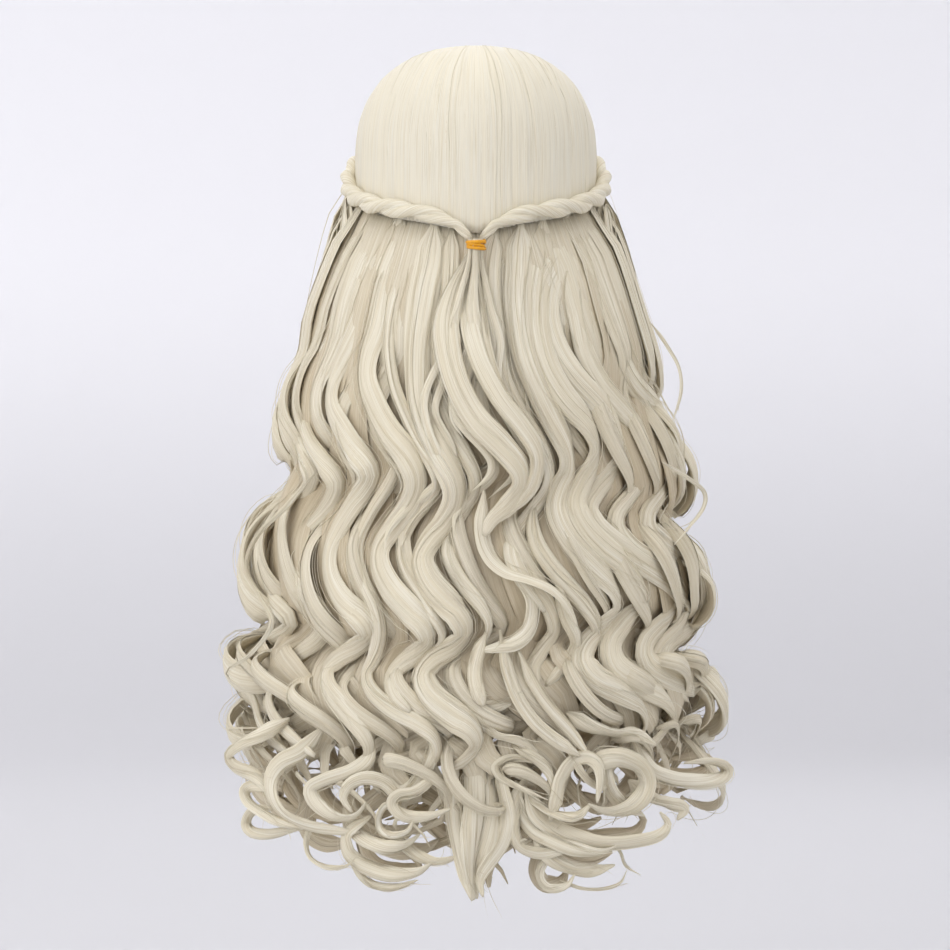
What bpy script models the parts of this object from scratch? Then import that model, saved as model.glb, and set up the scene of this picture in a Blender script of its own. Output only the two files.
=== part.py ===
"""Long wavy wig with two rope twists that meet in a tie at the back of the head.

Everything is in metres. +Z is up, the back of the wig faces -Y and the face opening looks +Y.
The origin is the inside of the cap's crown, where the wig sits on a head.
"""
import math
from collections import namedtuple

import bmesh
import bpy
from mathutils import Vector

# Stretch cap: outer half sizes, the heights of its dome and its edge, and its cloth
cap_half_width = 0.0765
cap_half_depth = 0.0965
cap_crown_height = 0.0735
cap_nape_depth = 0.150
cap_wall = 0.002
nape_narrowing = 0.16
front_narrowing = 0.07

# Clearances: hair on the cap, piece to piece, under the crown hair, and from fall to fall
seat_gap = 0.0014
fit_gap = 0.0004
seam_gap = 0.0008
fall_gap = 0.0011

# Crown hair, and the long hair that starts where it ends
crown_thickness = 0.0081
seam_depth = 0.1215
hair_length = 0.607
fall_side_spread = 0.076
fall_back_spread = 0.034
fall_front_spread = 0.014
fall_extra_thickness = 0.0055
lock_ridge = 0.0043
lock_tip = 0.0018

# Waves of the long hair: drop of the first crest, drop between crests, and sideways reach
wave_first_drop = 0.297
wave_pitch = 0.093
wave_reach = 0.0165
wave_depth_share = 0.62
wave_skew = 0.30
curl_turns = 0.42

# Under hair, sewn to the nape of the cap
under_seat_gap = 0.0018
under_thickness = 0.0080
under_top_depth = 0.1335
under_side_spread = 0.050
under_back_spread = 0.016

# Rope twists, from the temples to the tie
twist_radius = 0.0068
twist_turn = 0.030
twist_waist = 0.64
twist_flatness = 0.62
twist_end_clearance = 0.0012

# Elastic tie and the tail of hair that hangs from it
tie_depth = 0.1355
tie_height = 0.0074
tie_bore = 0.0048
tie_band = 0.0015
tail_thickness = 0.0072
tail_half_width = 0.034
tail_clearance = 0.0042
tail_length = 0.300
tail_split = 0.42

# Mesh fineness
cap_columns = 32
cap_rows = 8
crown_rows = 7
crown_front_columns = 7
tie_sides = 14
tail_sheet_rows = 8
tail_lock_rows = 11
dome_power = 2.4

# Angles are measured round the head from the middle of the back, to the wearer's right
edge_angle_top = math.radians(126)
edge_angle_end = math.radians(142)
under_angle_top = math.radians(46)
under_angle_end = math.radians(104)

crown_top = cap_wall + seat_gap + crown_thickness
widest_level = cap_wall - cap_crown_height

# Edge of the cap: angle as a share of half a turn, depth as a share of the nape's depth
CapEdge = namedtuple("CapEdge", "angle depth")
CAP_EDGE = [
    CapEdge(0.00, 1.00),
    CapEdge(0.20, 0.98),
    CapEdge(0.30, 0.90),
    CapEdge(0.40, 0.72),
    CapEdge(0.50, 0.60),
    CapEdge(0.58, 0.64),
    CapEdge(0.66, 0.50),
    CapEdge(0.76, 0.32),
    CapEdge(0.88, 0.28),
    CapEdge(1.00, 0.26),
]

# Lower edge of the crown hair: angle as a share of half a turn, depth as a share of seam_depth
Seam = namedtuple("Seam", "angle depth")
SEAM = [
    Seam(0.000, 1.00),
    Seam(0.095, 0.95),
    Seam(0.240, 0.89),
    Seam(0.330, 0.84),
    Seam(0.430, 0.77),
    Seam(0.530, 0.65),
    Seam(0.620, 0.53),
    Seam(0.700, 0.455),
    Seam(0.830, 0.41),
    Seam(1.000, 0.38),
]

# How the long hair opens out on its way down. Down is a share of each fall's own length.
# Spread is a share of the named spreads, ridge and bulk of the named ridge and extra thickness.
Opening = namedtuple("Opening", "down spread ridge bulk")
FALL_OPENING = [
    Opening(0.00, 0.00, 0.00, 0.00),
    Opening(0.03, 0.04, 0.12, 0.10),
    Opening(0.09, 0.25, 0.35, 0.35),
    Opening(0.25, 0.52, 0.80, 0.80),
    Opening(0.39, 0.66, 1.00, 1.00),
    Opening(0.54, 0.82, 1.00, 1.00),
    Opening(0.68, 0.91, 1.00, 0.95),
    Opening(0.83, 1.00, 0.90, 0.80),
    Opening(1.00, 0.96, 0.80, 0.60),
]

# Reach of the waves: drop as a share of hair_length, reach as a share of wave_reach
Wave = namedtuple("Wave", "drop reach")
WAVES = [
    Wave(0.00, 0.00),
    Wave(0.30, 0.00),
    Wave(0.37, 0.24),
    Wave(0.44, 0.62),
    Wave(0.52, 0.92),
    Wave(0.65, 1.05),
    Wave(0.80, 1.18),
    Wave(1.00, 1.22),
]

# How a free lock narrows: down is a share of its free length, width a share of its first half
# width, thickness a share of its first half thickness
Taper = namedtuple("Taper", "down width thickness")
LOCK_TAPER = [
    Taper(0.00, 0.96, 1.00),
    Taper(0.12, 0.82, 1.00),
    Taper(0.45, 0.61, 0.92),
    Taper(0.75, 0.47, 0.74),
    Taper(0.92, 0.30, 0.52),
    Taper(1.00, 0.10, 0.20),
]

# Locks of the outer layer, from the left front edge round the back to the right front edge.
# Length is a share of hair_length, phase is in turns, and curl is a share of curl_turns.
Lock = namedtuple("Lock", "length phase curl")
OUTER_LOCKS = [
    Lock(0.865, 0.02, 1.0),
    Lock(0.890, -0.05, 0.8),
    Lock(0.900, -0.10, 1.1),
    Lock(0.880, -0.02, 1.3),
    Lock(0.905, 0.05, 0.9),
    Lock(0.915, -0.03, 1.2),
    Lock(0.900, -0.09, 1.0),
    Lock(0.930, -0.02, 1.1),
    Lock(0.950, 0.02, 0.9),
    Lock(0.945, 0.03, 0.9),
    Lock(0.910, 0.09, 1.1),
    Lock(0.925, -0.03, 0.9),
    Lock(0.905, 0.04, 1.0),
    Lock(0.900, 0.07, 0.9),
    Lock(0.910, 0.05, 1.3),
    Lock(0.890, 0.02, 1.0),
    Lock(0.880, -0.01, 1.1),
    Lock(0.860, -0.05, 0.9),
]
UNDER_LOCKS = [
    Lock(0.900, -0.04, 0.9),
    Lock(0.945, 0.03, 1.1),
    Lock(0.985, -0.02, 0.8),
    Lock(1.000, 0.04, 0.9),
    Lock(0.955, 0.05, 0.9),
    Lock(0.915, 0.00, 1.0),
]

# Falls of the outer layer: name, and the first and last lock of each
Fall = namedtuple("Fall", "name first last")
OUTER_FALLS = [
    Fall("front_hair_left", 0, 1),
    Fall("side_hair_left", 2, 4),
    Fall("back_hair_left", 5, 8),
    Fall("back_hair_right", 9, 12),
    Fall("side_hair_right", 13, 15),
    Fall("front_hair_right", 16, 17),
]
UNDER_FALLS = [
    Fall("under_hair_left", 0, 2),
    Fall("under_hair_right", 3, 5),
]

# Tail under the tie: where each lock ends across its width, and its share of tail_length
TailLock = namedtuple("TailLock", "across length")
TAIL_LOCKS = [
    TailLock(-0.80, 0.80),
    TailLock(-0.05, 1.00),
    TailLock(0.75, 0.90),
]
TailOpening = namedtuple("TailOpening", "down width lift")
TAIL_OPENING = [
    TailOpening(0.00, 0.13, 1.00),
    TailOpening(0.04, 0.13, 1.00),
    TailOpening(0.12, 0.30, 0.45),
    TailOpening(0.30, 0.62, 0.10),
    TailOpening(0.60, 0.92, 0.00),
    TailOpening(1.00, 1.00, 0.00),
]

# Path of a twist, from the temple to the tie: angle as a share of half a turn, depth as a share
# of seam_depth, thickness and lift off the hair as shares of twist_radius
Twist = namedtuple("Twist", "angle depth thickness lift")
TWIST_PATH = [
    Twist(0.690, 0.455, 0.45, 0.50),
    Twist(0.620, 0.525, 0.80, 0.82),
    Twist(0.530, 0.645, 1.00, 1.02),
    Twist(0.430, 0.765, 1.03, 1.05),
    Twist(0.330, 0.838, 1.02, 1.05),
    Twist(0.240, 0.885, 0.98, 1.02),
    Twist(0.165, 0.912, 0.90, 0.96),
    Twist(0.095, 0.950, 0.80, 0.92),
    Twist(0.045, 1.000, 0.62, 0.95),
]
twist_rows = 34
twist_corners = 8
twist_end_share = 0.38

# Colours: fibre, its shaded under layer, cap net and elastic
HAIR_COLOUR = (0.72, 0.67, 0.56)
UNDER_COLOUR = (0.58, 0.51, 0.40)
CAP_COLOUR = (0.62, 0.52, 0.42)
TIE_COLOUR = (0.86, 0.43, 0.03)


def clear_scene():
    """Remove whatever the file holds before modelling."""
    for old in list(bpy.data.objects):
        bpy.data.objects.remove(old, do_unlink=True)


def make_material(name, colour, roughness):
    """A plain Principled material."""
    material = bpy.data.materials.new(name)
    material.use_nodes = True
    shader = material.node_tree.nodes["Principled BSDF"]
    shader.inputs["Base Color"].default_value = (*colour, 1.0)
    shader.inputs["Roughness"].default_value = roughness
    shader.inputs["Metallic"].default_value = 0.0
    return material


def ease(share):
    """Smooth step from 0 to 1."""
    share = min(1.0, max(0.0, share))
    return share * share * (3.0 - 2.0 * share)


def read_table(rows, key, column, place):
    """Smooth curve through one column of a table, read at a place along its key column."""
    keys = [getattr(row, key) for row in rows]
    values = [getattr(row, column) for row in rows]
    step = 1.0 if keys[-1] > keys[0] else -1.0
    keys = [step * value for value in keys]
    place = min(keys[-1], max(keys[0], step * place))
    last = len(keys) - 2
    index = next((i for i in range(last + 1) if place <= keys[i + 1]), last)
    slopes = []
    for i in (index, index + 1):
        low = max(0, i - 1)
        high = min(len(keys) - 1, i + 1)
        slopes.append((values[high] - values[low]) / (keys[high] - keys[low]))
    width = keys[index + 1] - keys[index]
    s = (place - keys[index]) / width
    return (
        (2 * s**3 - 3 * s**2 + 1) * values[index]
        + (s**3 - 2 * s**2 + s) * width * slopes[0]
        + (3 * s**2 - 2 * s**3) * values[index + 1]
        + (s**3 - s**2) * width * slopes[1]
    )


def half_turn_share(angle):
    """Share of half a turn, the same on both sides of the head."""
    return abs(angle) / math.pi


def cap_edge_level(angle):
    """Height of the cap's edge."""
    return -cap_nape_depth * read_table(CAP_EDGE, "angle", "depth", half_turn_share(angle))


def seam_level(angle):
    """Height where the crown hair ends and the long hair starts."""
    return -seam_depth * read_table(SEAM, "angle", "depth", half_turn_share(angle))


def dome_share(level, offset):
    """Share of the full half width that a dome has at a level."""
    rise = (level - widest_level) / (cap_crown_height + offset)
    if rise <= 0.0:
        return 1.0
    return max(0.0, 1.0 - min(1.0, rise) ** dome_power) ** (1.0 / dome_power)


def nape_share(level, narrowing):
    """Share of the full half width that is left below the widest level, towards the nape."""
    return 1.0 - narrowing * ease((widest_level - level) / (widest_level + cap_nape_depth))


def plan_point(half_width, back_depth, front_depth, angle, level):
    """Point on an egg-shaped level outline."""
    ahead = max(0.0, -math.cos(angle))
    width = half_width * (1.0 - front_narrowing * ahead**2)
    depth = front_depth if ahead else back_depth
    return Vector((width * math.sin(angle), -depth * math.cos(angle), level))


def dome_point(angle, edge_level, down, offset, narrowing):
    """Point on a dome at an offset outside the cap, a share of the way down to its edge."""
    height = cap_crown_height + offset
    edge_rise = (edge_level - widest_level) / height
    if edge_rise > 0.0:
        total = math.acos(edge_rise ** (dome_power / 2.0))
    else:
        total = math.pi / 2.0 - edge_rise
    swing = total * down
    if swing < math.pi / 2.0:
        level = widest_level + height * math.cos(swing) ** (2.0 / dome_power)
        share = math.sin(swing) ** (2.0 / dome_power)
    else:
        level = widest_level - height * (swing - math.pi / 2.0)
        share = nape_share(level, narrowing)
    half_width = (cap_half_width + offset) * share
    half_depth = (cap_half_depth + offset) * share
    return plan_point(half_width, half_depth, half_depth, angle, level)


def add_quad(mesh, a, b, c, d):
    """Two triangles that share the diagonal from a to c."""
    mesh.faces.new((a, b, c))
    mesh.faces.new((a, c, d))


def finish_object(name, mesh, material):
    """Turn a closed bmesh into a smooth-shaded object."""
    bmesh.ops.recalc_face_normals(mesh, faces=mesh.faces)
    data = bpy.data.meshes.new(name)
    mesh.to_mesh(data)
    mesh.free()
    data.materials.append(material)
    data.shade_smooth()
    data.set_sharp_from_angle(angle=math.radians(50))
    made = bpy.data.objects.new(name, data)
    bpy.context.scene.collection.objects.link(made)
    return made


def dome_shell(name, material, angles, row_count, edge_of, offsets, narrowing):
    """Open dome with a wall between two offsets outside the cap."""
    mesh = bmesh.new()
    skins = []
    for offset in offsets:
        apex = mesh.verts.new((0.0, 0.0, widest_level + cap_crown_height + offset))
        rows = []
        for step in range(1, row_count + 1):
            down = step / row_count
            ring = [dome_point(angle, edge_of(angle), down, offset, narrowing) for angle in angles]
            rows.append([mesh.verts.new(point) for point in ring])
        for column in range(len(angles)):
            following = (column + 1) % len(angles)
            mesh.faces.new((apex, rows[0][column], rows[0][following]))
            for upper, lower in zip(rows, rows[1:]):
                add_quad(mesh, upper[column], lower[column], lower[following], upper[following])
        skins.append(rows[-1])
    for column in range(len(angles)):
        following = (column + 1) % len(angles)
        inner, outer = skins
        add_quad(mesh, inner[column], inner[following], outer[following], outer[column])
    return finish_object(name, mesh, material)


# A layer of long hair: its locks, its edge angles, its spreads, how it starts on the head, and
# where its rows lie. First rows, wave start and split are shares of the way down.
Layer = namedtuple(
    "Layer",
    "locks angle_top angle_end side back front top_level offset thickness narrowing "
    "first_rows wave_start wave_rows split lock_rows",
)


def lock_value(layer, column, across):
    """Value of a table column at a place across the layer, straight between lock middles."""
    count = len(layer.locks)
    place = min(count - 1.0, max(0.0, (across + 1.0) / 2.0 * count - 0.5))
    low = min(count - 2, int(place))
    first = getattr(layer.locks[low], column)
    second = getattr(layer.locks[low + 1], column)
    return first + (second - first) * (place - low)


def hair_point(layer, across, down, out, shift=0.0, extra_turns=0.0):
    """Point of a layer of long hair.

    across runs from -1 at the left edge to 1 at the right edge, and down from 0 at the seam to 1
    at the tip. out is the distance outside the layer's middle surface, shift a distance along it.
    """
    top_angle = across * layer.angle_top
    angle = across * (layer.angle_top + (layer.angle_end - layer.angle_top) * down)
    top = layer.top_level(top_angle)
    end = crown_top - hair_length * lock_value(layer, "length", across)
    level = top + (end - top) * down
    spread = read_table(FALL_OPENING, "down", "spread", down)
    offset = layer.offset + layer.thickness / 2.0
    share = dome_share(level, offset) * nape_share(level, layer.narrowing)
    half_width = (cap_half_width + offset) * share + layer.side * spread
    back_depth = (cap_half_depth + offset) * share + layer.back * spread
    front_depth = (cap_half_depth + offset) * share + layer.front * spread
    point = plan_point(half_width, back_depth, front_depth, angle, level)
    depth = back_depth if math.cos(angle) > 0.0 else front_depth
    normal = Vector((math.sin(angle) / half_width, -math.cos(angle) / depth, 0.0)).normalized()
    along = Vector((-normal.y, normal.x, 0.0))
    drop = crown_top - level
    turns = 0.25 + (drop - wave_first_drop) / wave_pitch + extra_turns
    swing = 2.0 * math.pi * (turns + lock_value(layer, "phase", across))
    swing -= wave_skew * math.sin(swing)
    reach = wave_reach * read_table(WAVES, "drop", "reach", drop / hair_length)
    sideways = reach * math.sin(swing) + shift
    outward = reach * wave_depth_share * math.cos(swing) + out
    return point + along * sideways + normal * outward


def half_thickness(layer, down):
    """Half of the thickness of a layer in the middle of a lock, without its ridge."""
    bulk = read_table(FALL_OPENING, "down", "bulk", down)
    return (layer.thickness + fall_extra_thickness * bulk) / 2.0


def join_sheet(name, material, columns, tongues):
    """One closed body: a ridged sheet that splits into free locks.

    columns holds, for each line down the sheet, its (outer, inner) points, with an even number of
    spaces across. tongues holds, for each lock, its rings of six points below the sheet.
    """
    mesh = bmesh.new()
    outer = [[mesh.verts.new(pair[0]) for pair in column] for column in columns]
    inner = [[mesh.verts.new(pair[1]) for pair in column] for column in columns]
    rows = len(columns[0])
    for left in range(len(columns) - 1):
        right = left + 1
        add_quad(mesh, outer[left][0], outer[right][0], inner[right][0], inner[left][0])
        for row in range(rows - 1):
            for skin in (outer, inner):
                add_quad(
                    mesh, skin[left][row], skin[left][row + 1], skin[right][row + 1], skin[right][row]
                )
    for side in (0, -1):
        for row in range(rows - 1):
            add_quad(
                mesh, outer[side][row], outer[side][row + 1], inner[side][row + 1], inner[side][row]
            )
    for index, rings in enumerate(tongues):
        left = 2 * index
        above = [outer[left][-1], outer[left + 1][-1], outer[left + 2][-1]]
        above += [inner[left + 2][-1], inner[left + 1][-1], inner[left][-1]]
        for ring in rings:
            below = [mesh.verts.new(point) for point in ring]
            for corner in range(len(ring)):
                following = (corner + 1) % len(ring)
                add_quad(mesh, above[corner], below[corner], below[following], above[following])
            above = below
        add_quad(mesh, above[0], above[1], above[4], above[5])
        add_quad(mesh, above[1], above[2], above[3], above[4])
    return finish_object(name, mesh, material)


def lock_rings(middle_of, edges_of, normal_of, downs, half_thickness_of):
    """Rings of a free lock that narrows to its tip while it turns to lie across its own path.

    edges_of gives the places where the lock's two edges would be if the sheet went on.
    """
    rings = []
    start = downs[0]
    nudge = (downs[-1] - start) / (4.0 * len(downs))
    left, right = edges_of(start)
    first_width = (right - left).length / 2.0
    for down in downs[1:]:
        share = (down - start) / (downs[-1] - start)
        middle = middle_of(down)
        path = (middle_of(down + nudge) - middle_of(down - nudge)).normalized()
        level_normal = normal_of(down)
        normal = (level_normal - path * level_normal.dot(path)).normalized()
        left, right = edges_of(down)
        side = normal.cross(path)
        if side.dot(right - left) < 0.0:
            side.negate()
        width_share = read_table(LOCK_TAPER, "down", "width", share)
        slope_share = 0.22 + 0.78 * abs(path.z)
        width = max(lock_tip, first_width * width_share * slope_share)
        half = half_thickness_of(down) * read_table(LOCK_TAPER, "down", "thickness", share)
        half = max(lock_tip, half)
        edge = half * 0.42
        turned = ease(share / 0.4)
        to_left = ((left - middle) * width_share).lerp(side * -width, turned)
        to_right = ((right - middle) * width_share).lerp(side * width, turned)
        out = level_normal.lerp(normal, turned).normalized()
        rings.append([
            middle + to_left + out * edge,
            middle + out * half,
            middle + to_right + out * edge,
            middle + to_right - out * edge,
            middle - out * half * 0.8,
            middle + to_left - out * edge,
        ])
    return rings


def outward(layer, across, down):
    """Outward direction of a layer at a place on it."""
    step = 0.01
    there = hair_point(layer, across, down, step)
    return (there - hair_point(layer, across, down, 0.0)).normalized()


def fall_lock_rings(layer, index, downs):
    """Rings of one free lock of a layer, with the curl of its end."""
    count = len(layer.locks)
    lock = layer.locks[index]
    across = (2 * index + 1) / count - 1.0

    def place(across_there, down):
        share = max(0.0, (down - downs[0]) / (downs[-1] - downs[0]))
        curl = curl_turns * lock.curl * share**2
        return hair_point(layer, across_there, down, 0.0, extra_turns=curl)

    return lock_rings(
        lambda down: place(across, down),
        lambda down: (place(across - 1.0 / count, down), place(across + 1.0 / count, down)),
        lambda down: outward(layer, across, down),
        downs,
        lambda down: half_thickness(layer, down) + lock_ridge * 0.6,
    )


def make_fall(fall, layer, material):
    """One fall of long hair, with its ridged sheet above and its free locks below."""
    sheet_downs = list(layer.first_rows) + spaced(layer.wave_start, layer.split, layer.wave_rows)
    lock_downs = spaced(layer.split, 1.0, layer.lock_rows)
    count = len(layer.locks)
    columns = []
    first = 2 * fall.first
    last = 2 * (fall.last + 1)
    for place in range(first, last + 1):
        across = place / count - 1.0
        ridge = 1.0 if place % 2 else -1.0
        shift = 0.0
        if place == first and fall.first > 0:
            shift = fall_gap / 2.0
        if place == last and fall.last < count - 1:
            shift = -fall_gap / 2.0
        column = []
        for down in sheet_downs:
            half = half_thickness(layer, down)
            bump = ridge * lock_ridge * read_table(FALL_OPENING, "down", "ridge", down)
            outer = hair_point(layer, across, down, half + bump, shift=shift)
            inner = hair_point(layer, across, down, -half + bump * 0.5 * (ridge < 0), shift=shift)
            column.append((outer, inner))
        columns.append(column)
    tongues = []
    for index in range(fall.first, fall.last + 1):
        tongues.append(fall_lock_rings(layer, index, lock_downs))
    return join_sheet(fall.name, material, columns, tongues)


def spaced(start, end, steps):
    """Even steps from start to end, both included."""
    return [start + (end - start) * step / steps for step in range(steps + 1)]


def outer_top_level(angle):
    """Top of the outer long hair, just under the crown hair."""
    return seam_level(angle) - seam_gap


def under_top_level(angle):
    """Top of the under hair, on the nape of the cap."""
    return -under_top_depth


outer_layer = Layer(
    locks=OUTER_LOCKS,
    angle_top=edge_angle_top,
    angle_end=edge_angle_end,
    side=fall_side_spread,
    back=fall_back_spread,
    front=fall_front_spread,
    top_level=outer_top_level,
    offset=seat_gap,
    thickness=crown_thickness,
    narrowing=0.0,
    first_rows=(0.0, 0.035, 0.09, 0.16, 0.23),
    wave_start=0.26,
    wave_rows=17,
    split=0.76,
    lock_rows=10,
)
under_layer = Layer(
    locks=UNDER_LOCKS,
    angle_top=under_angle_top,
    angle_end=under_angle_end,
    side=under_side_spread,
    back=under_back_spread,
    front=under_back_spread,
    top_level=under_top_level,
    offset=under_seat_gap,
    thickness=under_thickness,
    narrowing=nape_narrowing,
    first_rows=(0.0, 0.037, 0.10, 0.20),
    wave_start=0.29,
    wave_rows=9,
    split=0.74,
    lock_rows=9,
)


def make_twist(name, material, side):
    """Two strands twisted round each other, laid along the seam from a temple to the tie."""
    surface = seat_gap + crown_thickness
    start = TWIST_PATH[0].angle
    end_angle = math.asin(min(1.0, tie_bore * 0.56 / (cap_half_width + surface))) / math.pi

    def path_point(share):
        """Middle of the twist, its outward direction, its radius and how flat it lies."""
        place = start + (end_angle - start) * share
        last_row = TWIST_PATH[-1]
        depth = seam_depth * read_table(TWIST_PATH, "angle", "depth", place)
        radius = twist_radius * read_table(TWIST_PATH, "angle", "thickness", place)
        lift = twist_radius * read_table(TWIST_PATH, "angle", "lift", place)
        if place < last_row.angle:
            home = (last_row.angle - place) / (last_row.angle - end_angle)
            tie_top = tie_depth - tie_height / 2.0 - fit_gap - twist_end_clearance
            depth += (tie_top - depth) * home
            radius += (tie_bore * twist_end_share - radius) * home
            lift += (tie_bore + tie_band + fit_gap - lift) * home
        level = -depth
        angle = side * place * math.pi
        spread = 0.0
        below = seam_level(angle) - level
        if below > 0.0:
            length = hair_length - seam_depth
            spread = fall_back_spread * read_table(FALL_OPENING, "down", "spread", below / length)
        share_here = dome_share(level, surface)
        half_width = (cap_half_width + surface) * share_here
        half_depth = (cap_half_depth + surface) * share_here + spread
        point = plan_point(half_width, half_depth, half_depth, angle, level)
        normal = Vector((math.sin(angle) / half_width, -math.cos(angle) / half_depth, 0.0))
        normal.normalize()
        flat = twist_flatness + (1.0 - twist_flatness) * ease((0.06 - place) / 0.05)
        return point + normal * (lift * flat + fit_gap * 2.0), normal, radius, flat

    mesh = bmesh.new()
    rings = []
    travelled = 0.0
    previous = None
    nudge = 0.1 / twist_rows
    for row in range(twist_rows + 1):
        share = row / twist_rows
        middle, normal, radius, flat = path_point(share)
        ahead = path_point(min(1.0, share + nudge))[0]
        behind = path_point(max(0.0, share - nudge))[0]
        path = (ahead - behind).normalized()
        normal = (normal - path * normal.dot(path)).normalized()
        across = path.cross(normal)
        if previous is not None:
            travelled += (middle - previous).length
        previous = middle
        turn = 2.0 * math.pi * travelled / twist_turn * side
        ring = []
        for corner in range(twist_corners):
            around = 2.0 * math.pi * corner / twist_corners
            lobe = twist_waist + (1.0 - twist_waist) * abs(math.cos(around))
            reach = radius * lobe
            direction = normal * flat * math.cos(around + turn) + across * math.sin(around + turn)
            ring.append(mesh.verts.new(middle + direction * reach))
        rings.append(ring)
    for first, second in zip(rings, rings[1:]):
        for corner in range(twist_corners):
            following = (corner + 1) % twist_corners
            wall = [first[corner], second[corner], second[following], first[following]]
            if side > 0.0:
                wall = wall[-1:] + wall[:-1]
            add_quad(mesh, *wall)
    mesh.faces.new(rings[0])
    mesh.faces.new(list(reversed(rings[-1])))
    return finish_object(name, mesh, material)


def tie_middle():
    """Middle of the tie, just off the hair at the middle of the back."""
    lift = tie_bore + tie_band + fit_gap * 3.0
    below = (tie_depth + tie_height - seam_depth) / (hair_length - seam_depth)
    spread = fall_back_spread * read_table(FALL_OPENING, "down", "spread", below)
    return Vector((0.0, -(cap_half_depth + seat_gap + crown_thickness + spread + lift), -tie_depth))


def make_tie(material):
    """Elastic band with two turns, one above the other."""
    mesh = bmesh.new()
    middle = tie_middle()
    half = tie_height / 2.0
    inner = tie_bore + fit_gap
    outer = tie_bore + tie_band
    groove = outer - tie_band * 0.45
    profile = [
        (inner, half), (outer - tie_band * 0.3, half), (outer, half * 0.5), (groove, 0.0),
        (outer, -half * 0.5), (outer - tie_band * 0.3, -half), (inner, -half),
    ]
    rings = []
    for step in range(tie_sides):
        angle = 2.0 * math.pi * step / tie_sides
        rings.append([
            mesh.verts.new(middle + Vector((radius * math.cos(angle), radius * math.sin(angle), level)))
            for radius, level in profile
        ])
    for step in range(tie_sides):
        first = rings[step]
        second = rings[(step + 1) % tie_sides]
        for corner in range(len(profile)):
            following = (corner + 1) % len(profile)
            add_quad(mesh, first[corner], second[corner], second[following], first[following])
    return finish_object("hair_tie", mesh, material)


def make_tail(material):
    """Hair of both twists, gathered through the tie and hanging over the long hair in locks."""
    middle = tie_middle()
    top = -tie_depth + tie_height / 2.0
    count = len(TAIL_LOCKS)
    neck_end = TAIL_OPENING[1].down
    bed = lock_ridge + fall_extra_thickness / 2.0 + crown_thickness / 2.0 + tail_clearance

    def tail_point(place, down, out):
        """Point of the tail: place is -1 to 1 across it, out the distance from its own middle."""
        level = top - tail_length * down
        width = tail_half_width * read_table(TAIL_OPENING, "down", "width", down)
        across = place * width / (edge_angle_top * (cap_half_depth + crown_thickness))
        fall_top = outer_top_level(across * edge_angle_top)
        fall_end = crown_top - hair_length * lock_value(outer_layer, "length", across)
        below = max(0.0, (fall_top - level) / (fall_top - fall_end))
        lift = read_table(TAIL_OPENING, "down", "lift", down)
        lying = hair_point(outer_layer, across, below, bed + tail_thickness / 2.0 + out)
        gathered = Vector((place * width, middle.y - out, level))
        point = lying.lerp(gathered, lift)
        point.z = level
        return point

    columns = []
    sheet = [0.0] + spaced(neck_end, tail_split, tail_sheet_rows)
    for line in range(2 * count + 1):
        place = line / count - 1.0
        column = []
        for down in sheet:
            lift = read_table(TAIL_OPENING, "down", "lift", down)
            round_off = math.sqrt(max(0.0, 1.0 - place * place))
            flat = tail_thickness / 2.0 * (0.45 + 0.55 * (line % 2))
            neck = (tie_bore - fit_gap) * (0.10 + 0.90 * round_off)
            half = flat + (neck - flat) * ease(lift)
            column.append((tail_point(place, down, half), tail_point(place, down, -half)))
        columns.append(column)
    tongues = []
    for index, lock in enumerate(TAIL_LOCKS):
        downs = spaced(tail_split, lock.length, tail_lock_rows)
        start_place = (2 * index + 1) / count - 1.0

        def place_at(down, offset, start_place=start_place, lock=lock, downs=downs):
            """Point of this lock's middle or of one of its edges."""
            share = max(0.0, (down - downs[0]) / (downs[-1] - downs[0]))
            middle = start_place + (lock.across - start_place) * ease(share)
            return tail_point(middle + offset, down, 0.0)

        rings = lock_rings(
            lambda down, place_at=place_at: place_at(down, 0.0),
            lambda down, place_at=place_at: (place_at(down, -1.0 / count), place_at(down, 1.0 / count)),
            lambda down: Vector((0.0, -1.0, 0.0)),
            downs,
            lambda down: tail_thickness / 2.0,
        )
        tongues.append(rings)
    return join_sheet("tie_tail", material, columns, tongues)


def main():
    """Model the wig, one object for each piece."""
    clear_scene()
    hair = make_material("hair_fibre", HAIR_COLOUR, 0.42)
    under = make_material("under_fibre", UNDER_COLOUR, 0.5)
    net = make_material("cap_net", CAP_COLOUR, 0.85)
    elastic = make_material("tie_elastic", TIE_COLOUR, 0.4)

    cap_angles = [2.0 * math.pi * step / cap_columns - math.pi for step in range(cap_columns)]
    cap_offsets = (-cap_wall, 0.0)
    dome_shell("wig_cap", net, cap_angles, cap_rows, cap_edge_level, cap_offsets, nape_narrowing)

    count = len(OUTER_LOCKS)
    back_angles = [(place / count - 1.0) * edge_angle_top for place in range(2 * count + 1)]
    front_angles = spaced(edge_angle_top, 2.0 * math.pi - edge_angle_top, crown_front_columns)[1:-1]
    crown_offsets = (seat_gap, seat_gap + crown_thickness)
    crown_angles = back_angles + front_angles
    dome_shell("crown_hair", hair, crown_angles, crown_rows, seam_level, crown_offsets, 0.0)

    for falls, layer, fibre in ((OUTER_FALLS, outer_layer, hair), (UNDER_FALLS, under_layer, under)):
        for fall in falls:
            make_fall(fall, layer, fibre)

    make_twist("twist_left", hair, -1.0)
    make_twist("twist_right", hair, 1.0)
    make_tie(elastic)
    make_tail(hair)


main()
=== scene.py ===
"""Long wavy wig, dressed: ribbons and strands of pale fibre round a stretch net cap.

Everything is in metres. The back of the wig faces -Y, the face opening looks +Y, and the origin is
the inside of the cap's crown.
"""
import math
from collections import namedtuple

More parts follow.
